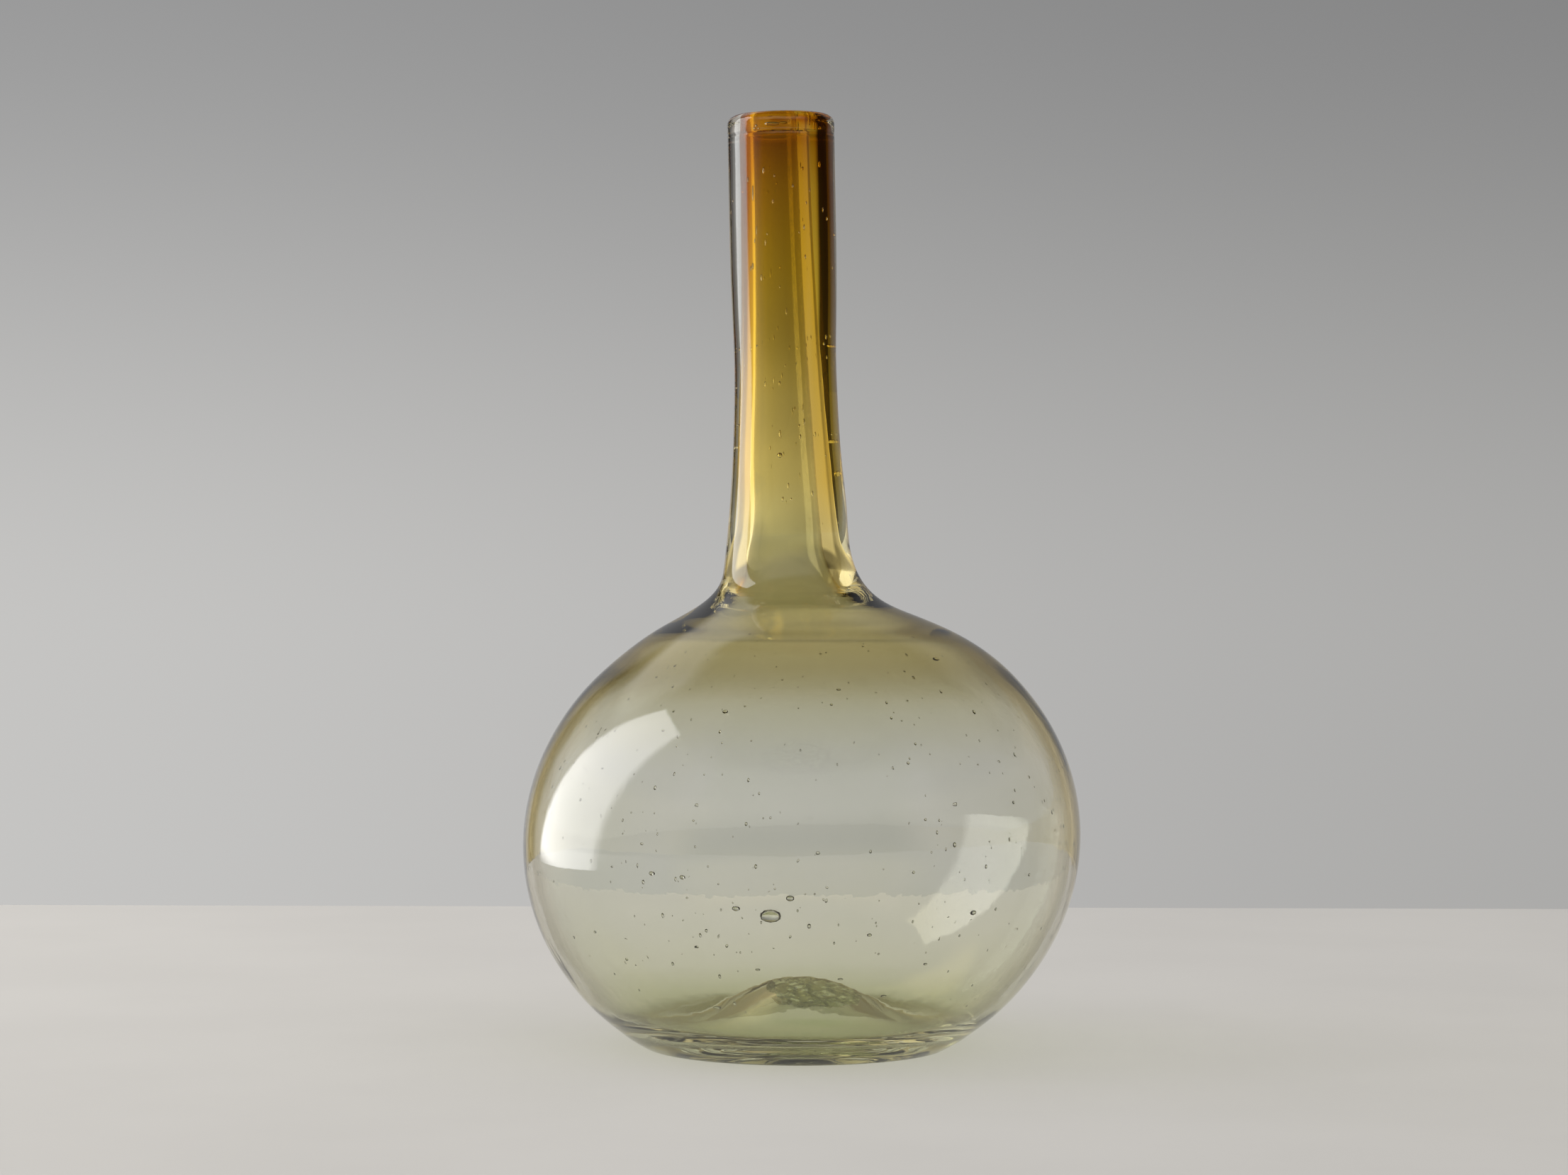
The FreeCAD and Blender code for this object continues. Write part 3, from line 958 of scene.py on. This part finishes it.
@dataclass
class Bulb:
    """The globe, with its thick base, foot ring and pushed-up centre."""

    wad: PontilWad
    hill_height: float = 21.3
    hill_slope: float = 24.0
    hill_rounding: float = 33.0
    hill_foot: float = 60.0
    foot_shift: float = -1.742
    kick_middle: float = 24.0  # where the ragged rings have turned round
    kick_rings: tuple[float, float, float] = (25.4, 44.0, 1.2)  # first, last and step
    hill_rings: tuple[float, float, float] = (0.6, 49.9, 1.3)
    foot_ring: tuple[float, float] = (43.6, 49.0)
    foot_edge: tuple[tuple[float, float], ...] = ((0.22, 49.2), (0.62, 50.1))  # height and radius
    spacing: float = 1.6
    scatter_count: int = 480
    scatter_key: int = 11
    scatter_size: tuple[float, float] = (0.2, 0.34)  # least, and how much more
    scatter_height: tuple[float, float] = (18.0, 118.0)  # lowest, and how much more
    seeds: tuple[Seed, ...] = (
        Seed(-6.1, 50.1, 3.3, 2.1, 0.8, 0.45), Seed(-2.3, 55.6, 1.3, 0.9, 0.7),
        Seed(-13.0, 52.2, 1.3, 0.8, 0.7), Seed(-30.8, 62.0, 1.1, 0.7, 0.6),
        Seed(-24.0, 61.3, 1.0, 0.7, 0.6), Seed(37.0, 49.6, 1.2, 0.8, 0.7),
        Seed(42.7, 126.5, 1.3, 0.8, 0.6), Seed(-19.7, 111.2, 0.9, 0.7, 0.5),
        Seed(1.6, 47.0, 0.6, 0.8, 0.5), Seed(14.0, 44.0, 0.8, 0.5, 0.5),
        Seed(-32.0, 88.0, 0.5, 0.7, 0.4), Seed(22.0, 96.0, 0.5, 0.5, 0.4),
        Seed(8.0, 118.0, 0.7, 0.4, 0.4), Seed(31.0, 71.0, 0.6, 0.8, 0.4),
        Seed(52.0, 60.0, 0.6, 0.5, 0.4), Seed(-48.0, 42.0, 0.7, 0.5, 0.4),
        Seed(20.0, 24.0, 1.0, 0.5, 0.5), Seed(-20.0, 20.0, 1.4, 0.6, 0.6),
        Seed(9.0, 30.0, 0.9, 0.4, 0.4), Seed(-9.0, 33.0, 0.8, 0.4, 0.4),
        Seed(28.0, 34.0, 0.7, 0.4, 0.4),
    )

    def under_rings(self) -> list[Loop]:
        """The underside from the lump's edge to the foot.

        Returns:
            Rings, from the lump's ragged edge out to a true circle.
        """
        inner = self.wad.ring(1.0)
        rings = [inner]
        start = np.hypot(inner[:, 0], inner[:, 1]) / MM
        turns = np.arctan2(inner[:, 1], inner[:, 0])
        for share in np.linspace(0.0, 1.0, 9)[1:]:
            radius = start + (self.kick_middle - start) * share
            heights = [self.wad.kick(float(r)) for r in radius]
            rings.append(MM * np.stack(
                [radius * np.cos(turns), radius * np.sin(turns), heights], axis=1))
        for radius in np.arange(*self.kick_rings):
            rings.append(Ring(0.0, self.wad.kick(float(radius)), float(radius)))
        inner_foot, outer_foot = self.foot_ring
        for share in (0.25, 0.5, 0.75, 0.93):
            radius = inner_foot + (outer_foot - inner_foot) * share
            rings.append(Ring(self.foot_shift * share, 0.0, radius))
        return rings

    def build(self) -> bpy.types.Object:
        """Makes the globe's outside, inside and base in one piece.

        Returns:
            The piece.
        """
        skin = GlassSkin()
        outer, seam = SHAPE.outer_line()
        rings = self.under_rings()
        rings += [Ring(self.foot_shift, z, radius) for z, radius in self.foot_edge]
        skin.strip(rings + outer.between(0, seam, self.spacing))

        inner, seam, _ = SHAPE.inner_line()
        rings = []
        edge_x, _, edge = SHAPE.floor_edge[0]
        for radius in np.arange(*self.hill_rings):
            z = dome_height(float(radius), self.hill_height, self.hill_slope, self.hill_rounding,
                            self.hill_foot, SHAPE.base_thickness)
            rings.append(Ring(edge_x * (radius / edge) ** 4, z, float(radius)))
        rings += inner.between(0, seam, self.spacing)
        skin.strip(rings, Facing.INSIDE, 0, Vector((0.0, 0.0, self.hill_height * MM)))
        self.trap_seeds(skin)
        return skin.piece("bulb_globe", (SAGE,), "bulb")

    def trap_seeds(self, skin: GlassSkin) -> None:
        """Puts the bubbles in the globe's wall, and a scatter of smaller ones.

        Args:
            skin: The globe's mesh.
        """
        scatter = list(self.seeds)
        for roll in np.random.default_rng(self.scatter_key).random((self.scatter_count, 4)).tolist():
            size = self.scatter_size[0] + self.scatter_size[1] * roll[2] ** 2
            scatter.append(Seed(
                360.0 * roll[0] - 180.0, self.scatter_height[0] + self.scatter_height[1] * roll[1],
                size, size * (0.8 + roll[3]), size * 0.8, 0.3 + 0.4 * roll[3]))
        for seed in scatter:
            sine = min(0.97, max(-0.97, (seed.height - SHAPE.girth) / SHAPE.globe_half))
            ring = SHAPE.globe_ring(math.asin(sine), SHAPE.girth_radius, SHAPE.globe_half)
            turn = math.radians(seed.azimuth)
            out = Vector((math.sin(turn), -math.cos(turn), 0.0))
            slope = math.atan2(
                sine / SHAPE.globe_half, math.sqrt(1 - sine * sine) / SHAPE.girth_radius)
            normal = (out * math.cos(slope) + Vector((0, 0, 1)) * math.sin(slope)).normalized()
            side = Vector((math.cos(turn), math.sin(turn), 0.0))
            up = normal.cross(side) * -1.0
            middle = Vector((ring.x, 0.0, ring.z)) + out * ring.radius
            middle -= normal * SHAPE.globe_wall * seed.depth
            size = Vector((seed.wide, seed.deep, seed.tall)) * MM
            skin.bubble(middle * MM, size, Matrix((side, -normal, up)).transposed())


@dataclass
class Neck:
    """The long drawn tube, from the seam on the shoulder to the lip."""

    spacing: float = 1.6
    scatter_count: int = 90
    scatter_key: int = 5
    scatter_size: tuple[float, float] = (0.2, 0.16)  # least, and how much more
    scatter_height: tuple[float, float] = (168.0, 116.0)  # lowest, and how much more
    seeds: tuple[Seed, ...] = (
        Seed(-40.0, 274.0, 0.25, 2.6, 0.25), Seed(-35.0, 262.0, 0.2, 1.6, 0.2),
        Seed(-10.0, 271.0, 0.3, 0.8, 0.25), Seed(-22.0, 258.0, 0.25, 1.2, 0.2),
        Seed(33.0, 263.0, 0.25, 1.0, 0.2), Seed(18.0, 276.0, 0.3, 0.7, 0.3),
        Seed(-8.0, 190.0, 0.9, 0.9, 0.6, 0.3), Seed(5.0, 236.0, 0.25, 1.2, 0.2),
        Seed(-14.0, 214.0, 0.2, 1.0, 0.2), Seed(24.0, 205.0, 0.2, 1.5, 0.2),
        Seed(-5.0, 176.0, 0.35, 0.8, 0.3), Seed(120.0, 230.0, 0.3, 2.0, 0.3),
        Seed(200.0, 250.0, 0.3, 1.6, 0.3), Seed(160.0, 205.0, 0.3, 1.5, 0.3),
        Seed(-100.0, 220.0, 0.3, 2.0, 0.3),
    )

    def build(self) -> bpy.types.Object:
        """Makes the tube's outside and its throat.

        Returns:
            The piece.
        """
        skin = GlassSkin()
        outer, seam = SHAPE.outer_line()
        skin.strip(outer.between(seam, -1, self.spacing))
        inner, seam, foot = SHAPE.inner_line()
        skin.strip(inner.between(seam, foot, self.spacing / 2), Facing.INSIDE)
        scatter = list(self.seeds)
        for roll in np.random.default_rng(self.scatter_key).random((self.scatter_count, 4)).tolist():
            size = self.scatter_size[0] + self.scatter_size[1] * roll[2]
            scatter.append(Seed(
                360.0 * roll[0] - 180.0, self.scatter_height[0] + self.scatter_height[1] * roll[1],
                size, size * (1.2 + 2.6 * roll[3]), size, 0.35 + 0.3 * roll[2]))
        for seed in scatter:
            turn = math.radians(seed.azimuth)
            radius, shift = SHAPE.bore(seed.height)
            away = radius + (SHAPE.waist_radius - radius) * (1.0 - seed.depth)
            place = Vector((SHAPE.neck_x(seed.height) + shift * seed.depth + away * math.sin(turn),
                            -away * math.cos(turn), seed.height))
            size = Vector((seed.wide, seed.deep, seed.tall)) * MM
            skin.bubble(place * MM, size, Matrix.Rotation(turn, 3, "Z"))
        return skin.piece("neck_tube", (OLIVE,), "neck")


@dataclass
class NeckLining:
    """The amber layer round the bore."""

    spacing: float = 2.0

    def build(self) -> bpy.types.Object:
        """Makes the layer's skin, its ends and the bore.

        Returns:
            The piece.
        """
        skin = GlassSkin()
        inner, _, foot = SHAPE.inner_line()
        bore = inner.between(foot, -1, self.spacing)
        low, high = SHAPE.root + SHAPE.lining_rise, SHAPE.lining_end
        heights = list(np.linspace(low, high - SHAPE.lining_shoulder, 60))
        heights += [high - SHAPE.lining_shoulder * (1 - math.sin(math.pi / 2 * k / 12))
                    for k in range(1, 13)]
        outside = [SHAPE.layer_ring(float(z)) for z in heights]
        skin.strip([bore[0], outside[0]], Facing.OUTSIDE, 1)
        skin.strip(outside, Facing.OUTSIDE, 1)
        skin.strip(bore, Facing.INSIDE, 0)
        return skin.piece("neck_lining_layer", (BORE, AMBER), "neck_lining")


@dataclass
class LipRing:
    """The band turned over at the mouth, with the fold that the turning left."""

    radius: float = 17.3
    bore: float = 6.9
    height: float = 7.5
    rounding: float = 3.2
    fold_height: float = 1.1
    bore_rounding: float = 2.0
    bore_section: tuple[tuple[float, float], ...] = (  # how much wider than the bore, and height
        (0.0, 3.6), (-0.02, 2.2), (0.1, 1.6), (0.4, 1.1), (0.5, 0.7))
    # Blisters and specks: radians from the front, height, distance from the middle line, half sizes.
    blisters: tuple[tuple[float, float, float, tuple[float, float, float]], ...] = (
        (-0.25, 3.6, 9.4, (2.3, 0.5, 0.6)), (0.08, 3.8, 9.2, (1.2, 0.4, 0.4)),
        (0.3, 1.9, 9.4, (0.5, 0.4, 0.35)), (0.42, 2.1, 9.2, (0.35, 0.4, 0.35)),
        (-0.75, 3.4, 9.4, (0.35, 0.35, 0.35)), (-0.82, 2.8, 9.4, (0.45, 0.35, 0.3)),
        (-0.68, 2.7, 9.3, (0.3, 0.3, 0.3)), (0.55, 0.6, 9.2, (0.4, 0.3, 0.3)),
        (0.95, 4.4, 9.0, (0.35, 0.4, 1.0)), (1.15, 3.4, 9.2, (0.4, 0.4, 1.3)),
        (2.6, 3.6, 8.4, (1.2, 0.4, 0.4)), (3.5, 3.7, 8.4, (1.6, 0.4, 0.4)),
        (1.8, 3.4, 8.4, (0.8, 0.4, 0.4)),
    )

    def outside(self) -> list[tuple[float, float, float]]:
        """The section from the neck over the fold and the top to the bore's edge.

        Returns:
            Radius, height and shift of each ring.
        """
        shift = SHAPE.mouth_bore_shift
        neck = SHAPE.grip_radius
        rows = [(neck, 0.0, 0.0), (neck - 0.05, 0.5, 0.0), (neck - 0.12, self.fold_height, 0.0),
                (neck - 0.04, 1.6, 0.0), (self.radius, 2.4, 0.0), (self.radius, 3.2, 0.0)]
        for k in range(15):
            turn = math.pi / 2 * k / 14
            rows.append((self.radius - self.rounding * (1 - math.cos(turn)),
                         self.height - self.rounding * (1 - math.sin(turn)), 0.0))
        edge = self.bore + self.bore_rounding
        rim = self.radius - self.rounding
        for share in (0.3, 0.6, 0.85):
            rows.append((rim + (edge - rim) * share, self.height - 0.1 * share, shift * share))
        return rows + self.bore_edge(range(5))

    def bore_edge(self, steps: range) -> list[tuple[float, float, float]]:
        """The rounding from the top into the bore.

        Args:
            steps: Which eighths of the rounding, from the top.

        Returns:
            Radius, height and shift of each ring.
        """
        rows = []
        for k in steps:
            turn = math.pi / 2 * k / 8
            rows.append((self.bore + self.bore_rounding - self.bore_rounding * math.sin(turn),
                         self.height - 0.1 - self.bore_rounding * (1 - math.cos(turn)),
                         SHAPE.mouth_bore_shift))
        return rows

    def inside(self) -> list[tuple[float, float, float]]:
        """The section down the bore to the neck.

        Returns:
            Radius, height and shift of each ring.
        """
        shift = SHAPE.mouth_bore_shift
        rows = self.bore_edge(range(4, 9))
        rows += [(self.bore + wider, height, shift) for wider, height in self.bore_section]
        rows.append((SHAPE.mouth_bore, 0.0, shift))
        return rows

    def rings(self, rows: list[tuple[float, float, float]]) -> list[Ring]:
        """Stands a section's rings up in the leaning frame of the mouth.

        Args:
            rows: Radius, height and shift of each ring.

        Returns:
            The rings.
        """
        lean = math.radians(SHAPE.neck_lean)
        foot = SHAPE.neck_x(SHAPE.mouth)
        return [Ring(foot - height * math.sin(lean), SHAPE.mouth + height * math.cos(lean),
                     radius, SHAPE.neck_lean, shift) for radius, height, shift in rows]

    def place(self, radius: float, height: float, turn: float) -> Vector:
        """A point in the leaning frame of the mouth, in metres.

        Args:
            radius: Distance from the neck's middle line, in mm.
            height: Height above the neck's top.
            turn: Radians from +X.

        Returns:
            The point.
        """
        lean = math.radians(SHAPE.neck_lean)
        along = radius * math.cos(turn)
        x = SHAPE.neck_x(SHAPE.mouth) + along * math.cos(lean) - height * math.sin(lean)
        return Vector((x, radius * math.sin(turn), SHAPE.mouth + along * math.sin(lean)
                       + height * math.cos(lean))) * MM

    def build(self) -> bpy.types.Object:
        """Makes the band, with its trapped blister and specks.

        Returns:
            The piece.
        """
        skin = GlassSkin()
        skin.strip(self.rings(self.outside()))
        skin.strip(self.rings(self.inside()), slot=1)
        front = -math.pi / 2
        for turn, height, away, size in self.blisters:
            place = self.place(away, height, front + turn)
            skin.bubble(place, Vector(size) * MM, Matrix.Rotation(turn, 3, "Z"))
        return skin.piece("lip_ring_band", (LIP, LIP_BORE), "lip_ring")


# ------------------------------------------------------------------ stage and camera


@dataclass(frozen=True)
class Panel:
    """A dark flag or light card in the world: where it starts and ends and how soft it is."""

    low: float
    high: float
    soft: float
    share: float = 1.0

    def seen(self, recipe: Recipe, place: Value) -> Value:
        """How much of the panel shows at a place.

        Args:
            recipe: The world's nodes.
            place: The direction's degrees or part.

        Returns:
            Its share on the panel, and 0 beside it.
        """
        start = recipe.band(place, self.low - self.soft, self.low + self.soft)
        end = recipe.band(place, self.high - self.soft, self.high + self.soft, (1.0, 0.0))
        return self.share * (start * end)


@dataclass(frozen=True)
class SoftLamp:
    """A square lamp that glass doesn't mirror, in metres."""

    name: str
    place: tuple[float, float, float]
    aim: tuple[float, float, float]
    size: float
    radiance: float  # how bright its face is

    def build(self) -> None:
        """Hangs the lamp."""
        data = bpy.data.lights.new(self.name, "AREA")
        data.shape, data.size = "SQUARE", self.size
        data.energy = self.radiance * math.pi * self.size ** 2
        lamp = bpy.data.objects.new(self.name, data)
        lamp.location = self.place
        facing = Vector(self.aim) - Vector(self.place)
        lamp.rotation_euler = facing.to_track_quat("-Z", "Y").to_euler()
        lamp.visible_camera = lamp.visible_glossy = lamp.visible_transmission = False
        bpy.context.scene.collection.objects.link(lamp)


@dataclass
class Studio:
    """The table top, the backdrop, the panels that only glass shows, and the lamps.

    This isn't plain light. The panels and the soft box answer by how many glass surfaces a ray was
    bent or mirrored by, which no real light does, and were set so that the glass looks as it should.
    """

    table_back: float = 0.457  # behind the flask
    table_reach: float = 2.6
    table_thick: float = 0.06
    table_colour: Colour = (0.56, 0.535, 0.50)
    backdrop_low: Colour = (0.50, 0.495, 0.485)
    backdrop_high: Colour = (0.28, 0.28, 0.282)
    backdrop_rise: tuple[float, float] = (-0.03, 0.17)
    backdrop_reach: tuple[float, float] = (-0.3, 0.3)
    backdrop_side_painted_light: tuple[float, float] = (1.14, 0.80)  # painted light and shade: it is paler to the left and darker to the right

    # Dark flags, in degrees from +Y towards +X or by one part of the direction.
    right_flag: Panel = Panel(55.0, 118.0, 8.0)
    left_flag: Panel = Panel(-37.0, -26.0, 3.0)
    neck_flags: tuple[Panel, Panel] = (Panel(-110.0, -30.0, 3.0, 0.7), Panel(-46.0, -31.0, 2.0, 0.3))
    ceiling: tuple[float, float] = (0.62, 0.8)
    front_flag: tuple[float, float] = (-0.5, -0.8)
    front_flag_rise: tuple[float, float] = (0.12, 0.3)
    front_flag_share: float = 0.85
    flag_most: float = 0.97
    flag_colour: Colour = (0.016, 0.012, 0.006)

    # Light cards, given in the same way.
    wall_cards: tuple[Panel, Panel] = (Panel(-140.0, -24.0, 8.0, 0.6), Panel(22.0, 140.0, 8.0, 0.42))
    wall_card_rise: Panel = Panel(-0.35, 0.4, 0.08)
    front_card: tuple[float, float] = (-0.3, -0.7)
    front_card_rise: Panel = Panel(0.3, 0.66, 0.08, 0.45)
    sheen_card: Panel = Panel(-62.0, -14.0, 8.0)
    sheen_rise: Panel = Panel(0.56, 0.84, 0.05)
    sheen_share: float = 0.7
    card_colour: Colour = (1.3, 1.3, 1.3)
    mirrored_tint: Colour = (0.86, 0.72, 0.42)
    ambient: Colour = (0.76, 0.77, 0.785)
    box_middle: tuple[float, float, float] = (-0.640, 0.055, 0.500)
    box_across: tuple[float, float, float] = (0.0195, -0.430, -0.088)  # far edge to near edge
    box_up: tuple[float, float, float] = (-0.37, -0.241, 1.090)
    box_glow: float = 4.2
    box_once: float = 0.12  # share of its light that the inside of one wall mirrors
    box_twice: float = 0.85  # and that a far wall mirrors
    box_deepest: float = 4.5  # surfaces crossed, past which it doesn't show
    box_fade: tuple[tuple[float, float, float, float], ...] = (  # how it fades in and out, each way
        (0.0, 0.10, 0.86, 1.0), (0.0, 0.05, 0.93, 1.0))
    lamps: tuple[SoftLamp, ...] = (
        SoftLamp("left_lamp", (-1.0, 0.175, 0.75), (0.0, 0.175, 0.1), 1.3, 1.7),
        SoftLamp("fill", (0.9, -1.6, 1.9), (0.0, 0.0, 0.1), 1.6, 0.8))

    def build_table(self) -> None:
        """Makes the plain pale table top."""
        mesh = bpy.data.meshes.new("table_top")
        shape = bmesh.new()
        bmesh.ops.create_cube(shape, size=1.0)
        bmesh.ops.scale(shape, verts=shape.verts, vec=(
            2 * self.table_reach, self.table_reach + self.table_back, self.table_thick))
        bmesh.ops.translate(shape, verts=shape.verts, vec=(
            0.0, (self.table_back - self.table_reach) / 2, -self.table_thick / 2 - 0.0001))
        shape.to_mesh(mesh)
        shape.free()
        table = bpy.data.objects.new("table_top", mesh)
        bpy.context.scene.collection.objects.link(table)
        paint = bpy.data.materials.new("table_paint")
        paint.use_nodes = True
        recipe = Recipe(paint.node_tree)
        place = recipe.node("ShaderNodeTexCoord", output="Object")
        mottle = recipe.cloud(place, 9.0, 4.0)
        colour = recipe.blend(recipe.band(mottle, 0.3, 0.7), self.table_colour,
                              tuple(c * 0.97 for c in self.table_colour))
        matt = recipe.node("ShaderNodeBsdfPrincipled", None, {
            "Base Color": colour, "Roughness": 0.75, "Specular IOR Level": 0.0})
        recipe.node("ShaderNodeOutputMaterial", None, {"Surface": matt})
        mesh.materials.append(paint)

    def build_world(self) -> None:
        """Makes the backdrop with its painted light and shade, the panels, and the even light that matt
        surfaces get instead.
        """
        world = bpy.data.worlds.new("studio")
        world.use_nodes = True
        recipe = Recipe(world.node_tree)
        way = recipe.node("ShaderNodeTexCoord", output="Generated")
        x, y, z = (recipe.part(way, axis) for axis in "XYZ")
        side = recipe.node("ShaderNodeMath", {"operation": "ARCTAN2"}, {0: x, 1: y}) * math.degrees(1.0)
        inside, crossed, mirrored = self.paths(recipe)
        solid = inside * (1.0 - mirrored)  # bent through the solid neck and not mirrored
        walled = inside * mirrored * (1.0 - crossed)  # mirrored by the inside of one wall
        free = mirrored * (1.0 - walled)  # mirrored anywhere else

        # The backdrop is painted light and shade: paler low down and to the left, darker high up and to
        # the right.
        backdrop = recipe.blend(
            recipe.band(z, *self.backdrop_rise), self.backdrop_low, self.backdrop_high)
        backdrop = recipe.node("ShaderNodeVectorMath", {"operation": "SCALE"}, {
            0: backdrop, "Scale": recipe.band(x, *self.backdrop_reach, self.backdrop_side_painted_light)})

        wide, narrow = (panel.seen(recipe, side) for panel in self.neck_flags)
        front = recipe.band(y, *self.front_flag) * recipe.band(z, *self.front_flag_rise, (1.0, 0.0))
        flags = self.right_flag.seen(recipe, side) * (1.0 - walled) + recipe.band(z, *self.ceiling)
        flags = flags + self.front_flag_share * front
        flags = flags + self.left_flag.seen(recipe, side) * (1.0 - inside) + (wide + narrow) * solid

        left, right = (panel.seen(recipe, side) for panel in self.wall_cards)
        cards = walled * self.wall_card_rise.seen(recipe, z) * (left + right)
        cards = cards + free * recipe.band(y, *self.front_card) * self.front_card_rise.seen(recipe, z)
        sheen = free * self.sheen_card.seen(recipe, side) * self.sheen_rise.seen(recipe, z)
        cards = cards + self.sheen_share * sheen

        dark = recipe.node(
            "ShaderNodeMath", {"operation": "MINIMUM"}, {0: flags * (1.0 - sheen), 1: self.flag_most})
        dark = dark * (1.0 - crossed * (1.0 - mirrored)) * (1.0 - recipe.path("Is Camera Ray"))
        seen = recipe.blend(dark, recipe.blend(cards, backdrop, self.card_colour), self.flag_colour)
        seen = recipe.tinted(seen, recipe.blend(inside * mirrored, WHITE, self.mirrored_tint))
        colour = recipe.blend(recipe.path("Is Diffuse Ray"), seen, self.ambient)
        shine = recipe.node("ShaderNodeBackground", None, {"Color": colour, "Strength": 1.0})
        recipe.node("ShaderNodeOutputWorld", None, {"Surface": shine})
        bpy.context.scene.world = world

    def paths(self, recipe: Recipe) -> tuple[Value, Value, Value]:
        """What a ray met on its way.

        Args:
            recipe: The nodes of the world or lamp.

        Returns:
            1 where it went into glass, where it crossed more than one wall, and where it was mirrored.
        """
        bent, mirrored = recipe.path("Transmission Depth"), recipe.path("Glossy Depth")
        return (self.above(recipe, bent, 0.5), self.above(recipe, bent, 2.5),
                self.above(recipe, mirrored, 0.5))

    def above(self, recipe: Recipe, source: Value, limit: float) -> Value:
        """1 where a value is above a limit, and 0 elsewhere."""
        return recipe.node("ShaderNodeMath", {"operation": "GREATER_THAN"}, {0: source, 1: limit})

    def build_soft_box(self) -> None:
        """Hangs the soft box that the glass shows; it fades to its edges and lights no matt surface."""
        across, up = Vector(self.box_across), Vector(self.box_up)
        data = bpy.data.lights.new("left_soft_box", "AREA")
        data.shape, data.size, data.size_y = "RECTANGLE", across.length, up.length
        data.energy = self.box_glow * math.pi * across.length * up.length
        data.use_nodes = True
        recipe = Recipe(data.node_tree)
        inside, crossed, mirrored = self.paths(recipe)
        face = recipe.node("ShaderNodeNewGeometry", output="Parametric")
        fade = 1.0
        for axis, (start, full, wane, end) in zip("XY", self.box_fade):
            place = recipe.part(face, axis)
            fade = fade * recipe.band(place, start, full) * recipe.band(place, wane, end, (1.0, 0.0))
        once = 1.0 - inside * (1.0 - self.box_once * mirrored)
        deep = self.above(recipe, recipe.path("Transmission Depth"), self.box_deepest)
        twice = self.box_twice * crossed * mirrored * (1.0 - deep)
        strength = (twice + (1.0 - crossed) * once) * fade
        glow = recipe.node("ShaderNodeEmission", None, {"Color": WHITE, "Strength": strength})
        recipe.node("ShaderNodeOutputLight", None, {"Surface": glow})
        lamp = bpy.data.objects.new("left_soft_box", data)
        axes = [axis.normalized() for axis in (across, up, across.cross(up))]
        turn = Matrix(axes).transposed()
        lamp.matrix_world = Matrix.Translation(self.box_middle) @ turn.to_4x4()
        lamp.visible_camera = lamp.visible_diffuse = False
        bpy.context.scene.collection.objects.link(lamp)

    def build(self) -> None:
        """Sets the whole stage."""
        self.build_table()
        self.build_world()
        self.build_soft_box()
        for lamp in self.lamps:
            lamp.build()
        LOG.info("stage: table, backdrop and three lamps")


@dataclass
class CameraStand:
    """The camera in front of the flask."""

    lens: float = 85.0
    place: tuple[float, float, float] = (-0.0059, -1.195, 0.1613)
    dip: float = 0.647  # degrees
    roll: float = 0.15

    def build(self) -> None:
        """Makes the scene's camera."""
        data = bpy.data.cameras.new("camera")
        data.lens, data.sensor_width = self.lens, 36.0
        camera = bpy.data.objects.new("camera", data)
        camera.location = self.place
        level = Euler((math.radians(90.0 - self.dip), 0.0, 0.0)).to_matrix()
        camera.rotation_euler = (level @ Matrix.Rotation(math.radians(self.roll), 3, "Z")).to_euler()
        bpy.context.scene.collection.objects.link(camera)
        bpy.context.scene.camera = camera


def main() -> None:
    """Builds the flask, its stage and its camera."""
    logging.basicConfig(level=logging.INFO, format="%(name)s: %(message)s")
    scene = bpy.context.scene
    scene.view_settings.view_transform = "Standard"
    scene.cycles.max_bounces = 28
    scene.cycles.transmission_bounces = 24
    scene.cycles.glossy_bounces = 12
    scene.cycles.transparent_max_bounces = 32
    CameraStand().build()
    Studio().build()
    wad = PontilWad()
    for part in (Bulb(wad), wad, Neck(), NeckLining(), LipRing()):
        made = part.build()
        LOG.info("built %s", made.name)


if __name__ == "__main__":
    main()
